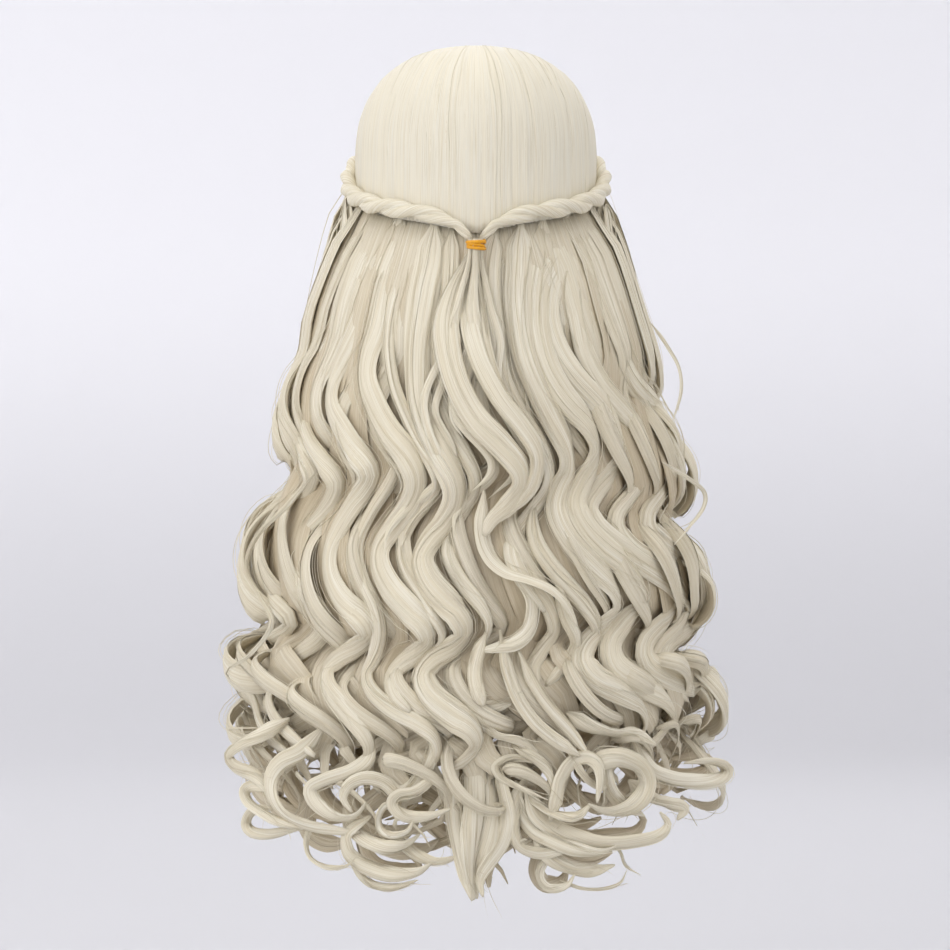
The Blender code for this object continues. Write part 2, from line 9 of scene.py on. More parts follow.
import bpy
import numpy as np
from bpy.props import FloatProperty, FloatVectorProperty, IntProperty
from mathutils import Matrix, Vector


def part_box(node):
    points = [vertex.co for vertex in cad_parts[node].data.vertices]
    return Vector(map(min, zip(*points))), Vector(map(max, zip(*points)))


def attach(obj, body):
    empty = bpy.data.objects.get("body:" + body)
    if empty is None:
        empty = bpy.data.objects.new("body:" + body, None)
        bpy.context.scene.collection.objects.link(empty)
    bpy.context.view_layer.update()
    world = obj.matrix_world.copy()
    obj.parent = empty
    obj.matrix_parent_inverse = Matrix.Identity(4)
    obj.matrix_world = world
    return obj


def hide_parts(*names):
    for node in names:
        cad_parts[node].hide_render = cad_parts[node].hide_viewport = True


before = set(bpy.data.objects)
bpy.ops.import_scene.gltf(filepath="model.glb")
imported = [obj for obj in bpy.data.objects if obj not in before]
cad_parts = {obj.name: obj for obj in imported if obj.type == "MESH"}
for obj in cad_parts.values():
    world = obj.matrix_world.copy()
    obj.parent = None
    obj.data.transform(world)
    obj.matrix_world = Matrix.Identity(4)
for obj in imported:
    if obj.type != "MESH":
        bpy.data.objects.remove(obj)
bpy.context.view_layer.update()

bl_info = {
    "name": "Long wavy wig",
    "version": (1, 0, 0),
    "blender": (4, 5, 0),
    "location": "View3D > Sidebar > Wig",
    "description": "Models a long wavy wig with rope twists, an elastic tie and a net cap",
    "category": "Add Mesh",
}

BODY = "root"

# Scale of the photo, its middle, and the place of the wig's top in it
millimetres_a_pixel = 0.705
picture_middle = 475.0
picture_centre_line = 476.0
picture_top = 42.0

# Sizes that the frame gives
cap_low, cap_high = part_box("wig_cap")
crown_low, crown_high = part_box("crown_hair")
tie_low, tie_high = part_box("hair_tie")
cap_half_width = cap_high.x
cap_half_depth = -cap_low.y
cap_nape_depth = -cap_low.z
crown_top = crown_high.z
seam_depth = -crown_low.z

# Camera place: across, level, and how far behind the origin the photo's scale holds
camera_side = (picture_middle - picture_centre_line) * millimetres_a_pixel / 1000.0
camera_level = crown_top - (picture_middle - picture_top) * millimetres_a_pixel / 1000.0
scale_depth = 0.04

# The rest of the head form and of the hair's build, as the solids have them
cap_crown_height = 0.0735
cap_wall = 0.002
dome_power = 2.4
nape_narrowing = 0.16
front_narrowing = 0.07
seat_gap = 0.0014
seam_gap = 0.0008
crown_thickness = 0.0081
hair_length = 0.607
fall_side_spread = 0.076
fall_back_spread = 0.034
fall_front_spread = 0.014
wave_first_drop = 0.297
wave_pitch = 0.093
wave_reach = 0.0165
wave_depth_share = 0.44
wave_skew = 0.36
fold_sharpness = 0.12
fold_lead = 0.35
fold_turn = 0.75
step_share = 0.9
side_depth_more = 0.45
under_seat_gap = 0.0018
under_thickness = 0.0080
under_top_depth = 0.1335
under_side_spread = 0.050
under_back_spread = 0.016
twist_radius = 0.0068
twist_turn = 0.062
twist_flatness = 0.62
tie_bore = 0.0048
tie_band = 0.0015
tail_thickness = 0.0072
tail_half_width = 0.034
tail_length = 0.300
tail_bed = 0.0056
widest_level = cap_wall - cap_crown_height
middle_of_tie = (tie_low + tie_high) / 2.0
edge_angle_top = math.radians(126)
edge_angle_end = math.radians(142)
under_angle_top = math.radians(46)
under_angle_end = math.radians(104)

# Rows of the photo, in pixels: where the waves of the back begin and how soon they are full, above
# which row a lock starts at the seam, and where the tail leaves the tie and how soon it is open
wave_top_row = 290.0
wave_grow_rows = 110.0
seam_lock_row = 300.0
tail_leave_row = 256.0
tail_leave_rows = 60.0
tail_open_row = 252.0
tail_open_rows = 90.0

# How the locks of the back lie: lift off the long hair's middle at the top, how much less it is in
# the waves, how far the waves swing in and out, the tail's own lift, and turns in radians
back_lift = 0.0034
back_lift_less = 0.0014
back_wave_depth = 0.0070
tail_lift = 0.004
back_lean_turn = 0.25
lean_turn = 0.35
outward_share = 0.85

# How a lock made by rule lies: how far down it is straight, where its curled end may start, how
# full it is at its root, how far it weaves and drifts, and by what share the roots of deep locks
# and of the others lie nearer the middle surface of their layer
straight_until = 0.36
curl_starts = (0.66, 0.78)
root_fullness = 1.3
weave_size = 0.0024
drift_reach = 0.0022
deep_nearer = 0.8
lock_nearer = 0.2

# A bundle: how deep its ribbons sit in its body, how far across they and the loose strands reach as
# shares of its half width, and how far the loose strands part at their tips
ribbon_inset = 0.00016
ribbon_reach = 0.86
loose_reach = 1.4
loose_parting = 0.009

# Cap: half thickness of its band, half width and half thickness of a weft, the level of the first
# weft, how far the last one stays from the nape's edge and each one from the edge beside it
band_half_thickness = 0.0009
weft_half_width = 0.0017
weft_half_thickness = 0.0008
weft_top = -0.016
weft_nape_gap = 0.012
weft_edge_gap = 0.004

# Strands of a twist: ribbons round each, and as shares of the twist's radius how far out its middle
# lies, its own radius, half width and half thickness of a ribbon, and its core
twist_ribbons = 11
strand_out = 0.38
strand_radius = 0.63
twist_ribbon_width = 0.235
twist_ribbon_thickness = 0.14
strand_core = 0.52

# Curled ends: below what width they are free strands, and how the filling curl behind each one is
# set: its least width, how far behind it lies, how far aside and up in the photo's pixels, and how
# much nearer the middle
strand_curl_width = 0.003
filling_least_width = 0.011
filling_behind = (0.018, 0.040)
filling_aside = 13.0
filling_up = (-28.0, -2.0)
filling_inward = 0.90

# Bowl of the backdrop: where its floor ends, how round its rise is, and how high it goes
bowl_floor = 3.4
bowl_round = 2.4
bowl_height = 7.5
bowl_steps = 16
bowl_columns = 96
light_target = (0.0, 0.0, -0.25)
world_colour = (1.0, 0.99, 0.98, 1.0)
world_strength = 1.36


def table(kind, rows):
    """Rows of plain values as rows with named columns."""
    return [kind(*row) for row in rows]


# Edge of the cap: angle as a share of half a turn, depth as a share of the nape's depth
CapEdge = namedtuple("CapEdge", "angle depth")
CAP_EDGE = table(CapEdge, (
    (0.00, 1.00), (0.20, 0.98), (0.30, 0.90), (0.40, 0.72), (0.50, 0.60), (0.58, 0.64),
    (0.66, 0.50), (0.76, 0.32), (0.88, 0.28), (1.00, 0.26),
))

# Line where the crown hair meets the long hair: depth as a share of seam_depth
Seam = namedtuple("Seam", "angle depth")
SEAM = table(Seam, (
    (0.000, 1.00), (0.095, 0.95), (0.240, 0.89), (0.330, 0.84), (0.430, 0.77), (0.530, 0.65),
    (0.620, 0.53), (0.700, 0.455), (0.830, 0.41), (1.000, 0.38),
))

# How the long hair opens out on its way down
Opening = namedtuple("Opening", "down spread bulk")
FALL_OPENING = table(Opening, (
    (0.00, 0.00, 0.00), (0.03, 0.04, 0.10), (0.09, 0.25, 0.35), (0.25, 0.52, 0.80),
    (0.39, 0.66, 1.00), (0.54, 0.82, 1.00), (0.68, 0.90, 0.95), (0.83, 0.96, 0.80),
    (1.00, 0.94, 0.60),
))

# Reach of the waves: drop as a share of hair_length, reach as a share of wave_reach
Wave = namedtuple("Wave", "drop reach")
WAVES = table(Wave, (
    (0.00, 0.00), (0.30, 0.00), (0.37, 0.24), (0.44, 0.62), (0.52, 0.92), (0.65, 1.05),
    (0.80, 1.18), (1.00, 1.22),
))

# How far the waves run ahead of an even pitch, in turns: drop as a share of hair_length, then the
# left edge, the left of the back, the right of the back and the right edge
Shift = namedtuple("Shift", "drop left_edge left right right_edge")
WAVE_SHIFTS = table(Shift, (
    (0.30, 0.00, 0.00, 0.04, -0.10), (0.42, 0.00, 0.00, 0.05, -0.15),
    (0.50, 0.00, -0.05, 0.05, -0.22), (0.58, -0.10, -0.18, 0.03, -0.12),
    (0.66, -0.18, -0.27, 0.00, -0.12), (0.75, 0.05, -0.16, 0.04, -0.06),
    (0.84, 0.28, -0.06, 0.10, 0.14), (1.00, 0.55, 0.15, 0.25, 0.42),
))
SHIFT_PLACES = (-0.78, -0.24, 0.24, 0.78)

# Locks from the left front edge round the back to the right front edge: length as a share of
# hair_length, phase in turns
Lock = namedtuple("Lock", "length phase")
OUTER_LOCKS = table(Lock, (
    (0.865, 0.02), (0.890, -0.05), (0.900, -0.10), (0.880, -0.02), (0.905, 0.05), (0.915, -0.03),
    (0.900, -0.09), (0.930, -0.02), (0.950, 0.02), (0.945, 0.03), (0.910, 0.09), (0.925, -0.03),
    (0.905, 0.04), (0.900, 0.07), (0.910, 0.05), (0.890, 0.02), (0.880, -0.01), (0.860, -0.05),
))
UNDER_LOCKS = table(Lock, (
    (0.900, -0.04), (0.945, 0.03), (0.985, -0.02), (1.000, 0.04), (0.955, 0.05), (0.915, 0.00),
))

# Falls: node, and the first and last lock of each
Fall = namedtuple("Fall", "name first last")
OUTER_FALLS = table(Fall, (
    ("front_hair_left", 0, 1), ("side_hair_left", 2, 4), ("back_hair_left", 5, 8),
    ("back_hair_right", 9, 12), ("side_hair_right", 13, 15), ("front_hair_right", 16, 17),
))
UNDER_FALLS = table(Fall, (
    ("under_hair_left", 0, 2), ("under_hair_right", 3, 5),
))

# Path of a twist, from the tie to the temple: angle as a share of half a turn, depth as a share of
# seam_depth, thickness and lift as shares of twist_radius
Twist = namedtuple("Twist", "angle depth thickness lift")
TWIST_PATH = table(Twist, (
    (0.045, 1.000, 0.62, 0.95), (0.095, 0.950, 0.80, 0.92), (0.165, 0.912, 0.90, 0.96),
    (0.240, 0.885, 0.98, 1.02), (0.330, 0.838, 1.02, 1.05), (0.430, 0.765, 1.03, 1.05),
    (0.530, 0.645, 1.00, 1.02), (0.620, 0.525, 0.80, 0.82), (0.690, 0.455, 0.45, 0.50),
))

# Tail under the tie: how wide it is on its way down, and how much of it is still gathered
TailOpening = namedtuple("TailOpening", "down width lift")
TAIL_OPENING = table(TailOpening, (
    (0.00, 0.13, 1.00), (0.04, 0.13, 1.00), (0.12, 0.30, 0.45), (0.30, 0.62, 0.10),
    (0.60, 0.92, 0.00), (1.00, 1.00, 0.00),
))

# Cross-sections, as shares of half width and half thickness. A ribbon has a flat top and a ridge
# underneath.
RIBBON_PROFILE = np.array([(-1.0, 0.0), (-0.52, 0.75), (0.52, 0.75), (1.0, 0.0), (0.0, -0.75)])
STRAND_PROFILE = np.array([(-0.87, -0.5), (0.0, 1.0), (0.87, -0.5)])


def body_profile(corners):
    """Rounded cross-section of a whole lock, flatter underneath, clockwise from its left edge."""
    around = math.pi - 2.0 * math.pi * np.arange(corners) / corners
    high = np.sin(around)
    return np.stack([np.cos(around), np.where(high > 0.0, high, 0.55 * high)], -1)


# Kinds of lock: share of the spacing that it fills, half thickness, ribbons on it, loose strands
# round it, corners of its body, rows down it, how much painted shade darkens it, how far out it
# lies, and its share of the wave
LockKind = namedtuple("LockKind", "fullness thickness ribbons loose corners rows deep out wave")
MAIN_LOCK = LockKind(0.56, 0.0042, 5, 6, 12, 92, 0.00, 0.0018, 1.0)
SLIM_LOCK = LockKind(0.32, 0.0028, 3, 4, 8, 80, 0.08, -0.0030, 0.95)
DEEP_LOCK = LockKind(1.50, 0.0030, 7, 0, 8, 40, 0.52, -0.0085, 0.50)
UNDER_LOCK = LockKind(0.70, 0.0034, 4, 3, 8, 60, 0.25, 0.0, 1.0)
BACK_LOCK = LockKind(1.0, 0.0040, 6, 7, 12, 92, 0.0, 0.0, 1.0)
CURL = LockKind(1.0, 0.0022, 4, 4, 8, 40, 0.0, 0.0, 1.0)
FILLING_CURL = LockKind(1.0, 0.0026, 3, 0, 8, 28, 0.5, 0.0, 1.0)
WISP = LockKind(1.0, 0.0008, 2, 3, 6, 44, 0.0, 0.0, 1.0)

# Locks of the back as the photo shows them: the fall that each belongs to, width in metres, how far
# out it lies, and its way in the photo's pixels, across and down, from the top to the tip
BackLock = namedtuple("BackLock", "fall width out way")
BACK_LOCKS = table(BackLock, (
    ("side_hair_left", 0.0140, 0.000, ((345, 200), (341, 270), (333, 297), (319, 333), (303, 366),
        (295, 399), (296, 431), (306, 461), (311, 482), (296, 502), (275, 521), (261, 540),
        (258, 560), (264, 583), (277, 604), (290, 624), (272, 639), (253, 652), (244, 666),
        (246, 683), (255, 702), (260, 722), (271, 740), (288, 752))),
    ("side_hair_left", 0.0150, 0.002, ((356, 204), (351, 268), (346, 300), (336, 333), (319, 360),
        (306, 385), (303, 414), (310, 442), (324, 464), (336, 485), (327, 508), (313, 525),
        (300, 543), (295, 561), (300, 581), (313, 604), (324, 626), (316, 641), (299, 654),
        (284, 668), (274, 683), (270, 702), (277, 721), (296, 740), (315, 756))),
    ("side_hair_left", 0.0185, 0.003, ((381, 210), (376, 262), (369, 290), (358, 326), (343, 359),
        (334, 384), (333, 407), (343, 429), (359, 456), (369, 474), (363, 490), (351, 509),
        (339, 530), (331, 550), (331, 573), (341, 596), (358, 615), (369, 633), (356, 647),
        (338, 659), (328, 672), (330, 689), (344, 708), (360, 729), (369, 748), (363, 764))),
    ("back_hair_left", 0.0120, 0.001, ((404, 400), (404, 430), (398, 462), (388, 486), (373, 510),
        (361, 535), (358, 556), (363, 580), (374, 606), (379, 633), (374, 657), (367, 675),
        (373, 692), (393, 710), (418, 724), (434, 738), (437, 755), (428, 772))),
    ("back_hair_left", 0.0190, 0.004, ((399, 214), (394, 262), (386, 290), (378, 326), (369, 356),
        (368, 381), (376, 406), (389, 431), (406, 454), (416, 479), (411, 503), (395, 526),
        (382, 546), (381, 566), (392, 589), (411, 611), (428, 635), (417, 652), (400, 666),
        (391, 680), (395, 697), (410, 712))),
    ("back_hair_left", 0.0090, 0.002, ((405, 220), (400, 275), (392, 306), (388, 343), (393, 381),
        (403, 409), (417, 439), (433, 466), (438, 486), (429, 502), (415, 518), (405, 536),
        (401, 552), (407, 573), (422, 599), (440, 627), (442, 641), (431, 655), (417, 668),
        (411, 684))),
    ("back_hair_left", 0.0195, 0.004, ((435, 220), (430, 262), (424, 290), (418, 333), (417, 366),
        (419, 398), (427, 427), (442, 457), (453, 481), (454, 500), (445, 522), (430, 541),
        (422, 561), (431, 584), (450, 606), (464, 629), (452, 647), (432, 661), (423, 678),
        (432, 697), (453, 715), (471, 730), (476, 745), (462, 762), (442, 772))),
    ("back_hair_left", 0.0110, 0.000, ((452, 228), (449, 290), (438, 335), (436, 372), (441, 402),
        (452, 430), (464, 452), (474, 474), (474, 493), (464, 510), (452, 532), (448, 553),
        (460, 580), (479, 604), (489, 625), (482, 648))),
    ("back_hair_right", 0.0130, 0.000, ((496, 230), (491, 262), (491, 294), (496, 340), (502, 376),
        (518, 411), (538, 442), (548, 468), (546, 490), (533, 510), (519, 528), (511, 546),
        (516, 568), (530, 590), (545, 612))),
    ("back_hair_right", 0.0180, 0.003, ((521, 221), (520, 262), (519, 300), (525, 350), (538, 388),
        (552, 419), (564, 446), (567, 470), (560, 492), (558, 510), (568, 534), (586, 557),
        (606, 580), (616, 602), (606, 623), (589, 641), (583, 659), (596, 678), (621, 691),
        (640, 706), (645, 726), (634, 747))),
    ("back_hair_right", 0.0190, 0.004, ((543, 215), (541, 260), (537, 294), (537, 329), (546, 365),
        (562, 394), (581, 418), (593, 441), (591, 464), (581, 486), (576, 505), (586, 528),
        (603, 547), (624, 565), (639, 585), (640, 602), (624, 622), (611, 644), (616, 666),
        (639, 682), (661, 697), (671, 715), (660, 736), (640, 753))),
    ("back_hair_right", 0.0185, 0.002, ((566, 211), (562, 258), (551, 285), (547, 315), (556, 347),
        (574, 376), (596, 401), (613, 425), (619, 449), (612, 470), (597, 490), (588, 506),
        (594, 525), (613, 543), (639, 560), (661, 577), (674, 597), (669, 615), (655, 630),
        (645, 645), (648, 662), (666, 675), (689, 685), (706, 699), (707, 718), (690, 736))),
    ("side_hair_right", 0.0170, 0.001, ((583, 205), (579, 258), (575, 294), (579, 326), (585, 354),
        (600, 383), (622, 410), (640, 433), (647, 455), (641, 478), (628, 498), (617, 514),
        (617, 531), (632, 550), (656, 566), (676, 587), (685, 609), (676, 630), (662, 646),
        (656, 662), (668, 682), (688, 700))),
    ("side_hair_right", 0.0185, 0.000, ((600, 200), (600, 258), (603, 294), (613, 326), (621, 358),
        (634, 383), (653, 404), (670, 426), (677, 450), (672, 476), (658, 498), (648, 515),
        (650, 530), (664, 544), (685, 560), (703, 577), (710, 599), (701, 619), (681, 634),
        (666, 648), (667, 664), (687, 676), (706, 692), (711, 712), (698, 732))),
    ("back_hair_right", 0.0080, 0.003, ((500, 630), (505, 660), (514, 690), (530, 717), (550, 736),
        (580, 756))),
    ("back_hair_right", 0.0070, 0.002, ((518, 650), (534, 685), (550, 708), (570, 731),
        (588, 754))),
    ("back_hair_right", 0.0110, 0.002, ((556, 575), (565, 614), (575, 637), (572, 653), (559, 671),
        (545, 686))),
    ("back_hair_left", 0.0110, 0.004, ((486, 632), (477, 658), (475, 680), (483, 706))),
    ("back_hair_right", 0.0125, -0.001, ((540, 492), (533, 516), (536, 541), (549, 563),
        (567, 584), (586, 606), (597, 628), (589, 648), (577, 665))),
    ("back_hair_right", 0.0125, -0.001, ((520, 552), (531, 580), (548, 606), (554, 630),
        (542, 650), (532, 671), (538, 694))),
    ("side_hair_left", 0.0140, -0.003, ((350, 202), (349, 240), (345, 275), (337, 310), (325, 345),
        (312, 378), (304, 410), (306, 440))),
    ("side_hair_right", 0.0140, -0.003, ((593, 200), (597, 240), (604, 290), (614, 330),
        (624, 360), (636, 390), (650, 415), (664, 440))),
    ("side_hair_right", 0.0120, -0.004, ((606, 204), (612, 250), (621, 300), (632, 345),
        (644, 380), (660, 410), (674, 440))),
    ("tie_tail", 0.0185, 0.008, ((473, 250), (466, 262), (454, 286), (446, 320), (449, 356),
        (459, 389), (476, 419), (500, 444), (517, 466), (520, 485), (508, 505), (492, 520),
        (484, 536))),
    ("tie_tail", 0.0140, 0.009, ((476, 250), (472, 266), (469, 294), (470, 326), (480, 361),
        (499, 397), (522, 427), (536, 453), (535, 477), (525, 497), (510, 512))),
    ("tie_tail", 0.0075, 0.007, ((479, 250), (479, 268), (480, 294), (483, 326), (488, 354),
        (500, 388), (515, 414), (528, 436))),
))

# Curled ends and free strands where the photo shows them: width in metres, how far out they lie,
# and their way in the photo's pixels, across and down, from inside the hair to the tip
Curl = namedtuple("Curl", "width out way")
CURLS = table(Curl, (
    # Left half
    (0.0100, 0.010, ((425, 715), (435, 742), (428, 765), (412, 788), (398, 793), (384, 782),
        (366, 778), (350, 784), (343, 798), (352, 812))),
    (0.0092, 0.012, ((374, 735), (369, 757), (352, 770), (325, 779), (310, 788), (314, 801),
        (328, 813), (345, 818), (358, 813), (366, 802))),
    (0.0112, 0.006, ((325, 725), (302, 750), (281, 762), (271, 778), (273, 798), (286, 815),
        (310, 826), (338, 831), (360, 832))),
    (0.0100, 0.000, ((290, 718), (262, 734), (243, 743), (229, 755), (236, 767), (255, 776),
        (267, 790), (270, 805))),
    (0.0075, 0.003, ((276, 794), (256, 786), (245, 790), (248, 802), (262, 813), (280, 822),
        (304, 828))),
    (0.0072, -0.002, ((276, 808), (254, 810), (246, 822), (252, 832), (270, 834), (292, 829),
        (312, 826))),
    (0.0040, 0.004, ((318, 822), (309, 831), (306, 846), (311, 859), (326, 867), (343, 867),
        (354, 861))),
    (0.0098, 0.006, ((372, 815), (349, 832), (347, 846), (352, 857), (367, 867), (390, 874),
        (416, 872), (432, 863))),
    (0.0050, 0.002, ((350, 845), (353, 862), (361, 876), (374, 885), (395, 887), (418, 880))),
    (0.0080, 0.014, ((440, 775), (416, 790), (400, 793), (392, 801), (397, 811), (410, 817),
        (428, 816), (450, 809))),
    (0.0055, 0.010, ((396, 800), (383, 808), (378, 819), (381, 830), (392, 835), (407, 831),
        (413, 821))),
    (0.0095, 0.005, ((343, 808), (350, 824), (360, 836), (372, 843), (388, 847), (406, 844),
        (420, 834))),
    (0.0080, 0.001, ((386, 826), (398, 840), (408, 849), (421, 857), (438, 861), (458, 857))),
    # Fan of ends in the middle
    (0.0100, 0.008, ((456, 750), (452, 790), (455, 825), (461, 855), (466, 882), (472, 901))),
    (0.0120, 0.010, ((472, 755), (474, 795), (471, 830), (469, 860), (470, 882), (474, 900))),
    (0.0110, 0.008, ((496, 760), (505, 795), (508, 820), (502, 842), (489, 862), (480, 880),
        (483, 897))),
    (0.0110, 0.004, ((486, 760), (492, 800), (489, 835), (481, 862), (476, 884), (477, 899))),
    # Right half
    (0.0092, 0.007, ((526, 775), (514, 805), (512, 830), (520, 846), (536, 853), (555, 852),
        (575, 846))),
    (0.0092, 0.010, ((516, 780), (519, 806), (532, 829), (553, 841), (575, 849), (600, 852),
        (618, 845))),
    (0.0112, 0.012, ((524, 785), (536, 813), (557, 829), (582, 839), (605, 843), (632, 841),
        (657, 836), (668, 824), (660, 812))),
    (0.0092, 0.004, ((532, 832), (548, 856), (567, 867), (590, 871), (615, 865))),
    (0.0062, 0.000, ((560, 846), (545, 860), (540, 876), (549, 888), (566, 886), (575, 874))),
    (0.0022, 0.002, ((560, 880), (580, 888), (602, 889), (620, 883), (627, 870))),
    (0.0092, 0.016, ((550, 822), (556, 799), (560, 779), (571, 763), (585, 757), (597, 764),
        (600, 780), (597, 803))),
    (0.0118, 0.012, ((585, 775), (598, 762), (620, 758), (640, 766), (648, 781), (643, 796),
        (629, 807), (607, 811), (588, 804))),
    (0.0090, 0.004, ((598, 745), (606, 776), (613, 794), (626, 808), (645, 816))),
    (0.0095, 0.004, ((632, 738), (648, 767), (667, 777), (690, 781), (711, 781), (725, 775),
        (725, 766), (710, 761), (684, 763))),
    (0.0100, 0.000, ((628, 780), (650, 797), (669, 803), (684, 809), (677, 820))),
    (0.0070, 0.014, ((526, 792), (543, 809), (560, 816), (578, 816), (591, 804))),
    # Short ends over the long locks
    (0.0045, 0.014, ((536, 763), (512, 757), (495, 765), (499, 776), (512, 784), (528, 791),
        (548, 800))),
    (0.0072, 0.012, ((512, 745), (534, 757), (548, 771), (553, 788), (555, 806))),
    (0.0100, 0.010, ((566, 712), (590, 726), (613, 732), (636, 734), (656, 745))),
    (0.0090, 0.012, ((474, 696), (482, 720), (496, 734), (517, 740), (538, 752))),
    (0.0090, 0.010, ((455, 688), (466, 703), (488, 707), (512, 704))),
    (0.0095, 0.016, ((484, 490), (482, 530), (489, 556), (505, 572), (528, 580), (550, 589),
        (566, 604), (577, 626))),
    (0.0100, 0.014, ((508, 566), (526, 588), (533, 607), (529, 629), (515, 643), (495, 648),
        (476, 651))),
    # Single strands at the outline
    (0.0026, 0.000, ((318, 470), (285, 508), (262, 530), (249, 552), (247, 573), (260, 597),
        (272, 624), (250, 655), (229, 668), (228, 677), (246, 690))),
    (0.0010, 0.000, ((262, 728), (245, 728), (230, 729), (236, 735), (252, 742))),
    (0.0022, 0.000, ((662, 462), (688, 478), (704, 492), (703, 508), (690, 526), (674, 545))),
    (0.0018, 0.000, ((650, 322), (667, 346), (679, 368), (681, 393), (672, 422))),
    (0.0014, 0.000, ((610, 838), (620, 852), (626, 866), (641, 875))),
))

# Layers of ribbons on each side of the crown: how many, half width, half thickness, the lowest and
# the highest that they lie off its surface, and points down each
CrownLayer = namedtuple("CrownLayer", "count width thickness low high rows")
CROWN_LAYERS = table(CrownLayer, (
    (48, 0.0062, 0.0005, -0.0010, -0.0006, 24), (84, 0.0040, 0.0002, -0.0002, 0.0001, 38),
))
CROWN_STRANDS = 70

# Lights: place, size and power as a share of the key light's
Light = namedtuple("Light", "name place size power")
LIGHTS = table(Light, (
    ("key_light", (-1.3, -2.3, 0.8), 1.8, 1.0),
    ("fill_light", (1.9, -1.9, 0.3), 1.8, 0.35),
    ("left_light", (-2.5, -1.3, 0.2), 1.4, 0.75),
    ("top_light", (0.0, 0.2, 2.2), 1.6, 0.12),
    ("far_light", (0.6, 2.4, 1.2), 2.0, 0.5),
))


def ease(share):
    """Smooth step from 0 to 1."""
    share = np.clip(share, 0.0, 1.0)
    return share * share * (3.0 - 2.0 * share)


def unit(vectors):
    """Vectors at length 1."""
    return vectors / np.maximum(np.linalg.norm(vectors, axis=-1, keepdims=True), 1e-9)


def read_table(rows, key, column, place):
    """Smooth curve through one column of a table, read at places along its key column."""
    keys = np.array([getattr(row, key) for row in rows])
    values = np.array([getattr(row, column) for row in rows])
    high = np.minimum(np.arange(len(keys)) + 1, len(keys) - 1)
    low = np.maximum(np.arange(len(keys)) - 1, 0)
    slopes = (values[high] - values[low]) / (keys[high] - keys[low])
    place = np.clip(place, keys[0], keys[-1])
    index = np.clip(np.searchsorted(keys, place) - 1, 0, len(keys) - 2)
    width = keys[index + 1] - keys[index]
    s = (place - keys[index]) / width
    return (
        (2 * s**3 - 3 * s**2 + 1) * values[index]
        + (s**3 - 2 * s**2 + s) * width * slopes[index]
        + (3 * s**2 - 2 * s**3) * values[index + 1]
        + (s**3 - s**2) * width * slopes[index + 1]
    )


def seam_level(angle):
    """Height where the crown hair ends and the long hair starts."""
    return -seam_depth * read_table(SEAM, "angle", "depth", np.abs(angle) / math.pi)


def cap_edge_level(angle):
    """Height of the cap's edge."""
    return -cap_nape_depth * read_table(CAP_EDGE, "angle", "depth", np.abs(angle) / math.pi)


def dome_share(level, offset):
    """Share of the full half width that a dome has at a level."""
    rise = np.clip((level - widest_level) / (cap_crown_height + offset), 0.0, 1.0)
    return np.maximum(0.0, 1.0 - rise**dome_power) ** (1.0 / dome_power)


def nape_share(level, narrowing):
    """Share of the full half width that is left below the widest level."""
    return 1.0 - narrowing * ease((widest_level - level) / (widest_level + cap_nape_depth))


def plan_point(half_width, back_depth, front_depth, angle, level):
    """Point on an egg-shaped level outline."""
    ahead = np.maximum(0.0, -np.cos(angle))
    width = half_width * (1.0 - front_narrowing * ahead**2)
    depth = np.where(ahead > 0.0, front_depth, back_depth)
    x = width * np.sin(angle)
    y = -depth * np.cos(angle)
    return np.stack(np.broadcast_arrays(x, y, level), -1)


def dome_point(angle, edge_level, down, offset, narrowing=0.0):
    """Point on a dome at an offset outside the cap, a share of the way down to its edge."""
    height = cap_crown_height + offset
    edge_rise = (edge_level - widest_level) / height
    above = np.arccos(np.clip(edge_rise, 0.0, 1.0) ** (dome_power / 2.0))
    total = np.where(edge_rise > 0.0, above, math.pi / 2.0 - edge_rise)
    swing = total * down
    quarter = np.clip(swing, 0.0, math.pi / 2.0)
    below = np.maximum(0.0, swing - math.pi / 2.0)
    level = widest_level + height * (np.cos(quarter) ** (2.0 / dome_power) - below)
    share = np.sin(quarter) ** (2.0 / dome_power) * nape_share(level, narrowing)
    half_width = (cap_half_width + offset) * share
    half_depth = (cap_half_depth + offset) * share
    return plan_point(half_width, half_depth, half_depth, angle, level)


# A layer of long hair, and how its locks lie
Layer = namedtuple(
    "Layer", "locks angle_top angle_end side back front top_level offset thickness narrowing"
)


def lock_value(layer, column, across):
    """Value of a table column at a place across the layer, straight between lock middles."""
    values = [getattr(lock, column) for lock in layer.locks]
    count = len(values)
    return np.interp((across + 1.0) / 2.0 * count - 0.5, np.arange(count), values)


def wave_shift(across, drop):
    """How far the waves run ahead at a place across the layer and a share of the length down."""
    columns = [read_table(WAVE_SHIFTS, "drop", key, drop) for key in Shift._fields[1:]]
    shares = np.interp(across, SHIFT_PLACES, np.arange(4.0)) + 0.0 * drop
    total = np.zeros_like(shares)
    for number, column in enumerate(columns):
        total = total + column * np.clip(1.0 - np.abs(shares - number), 0.0, 1.0)
    return total


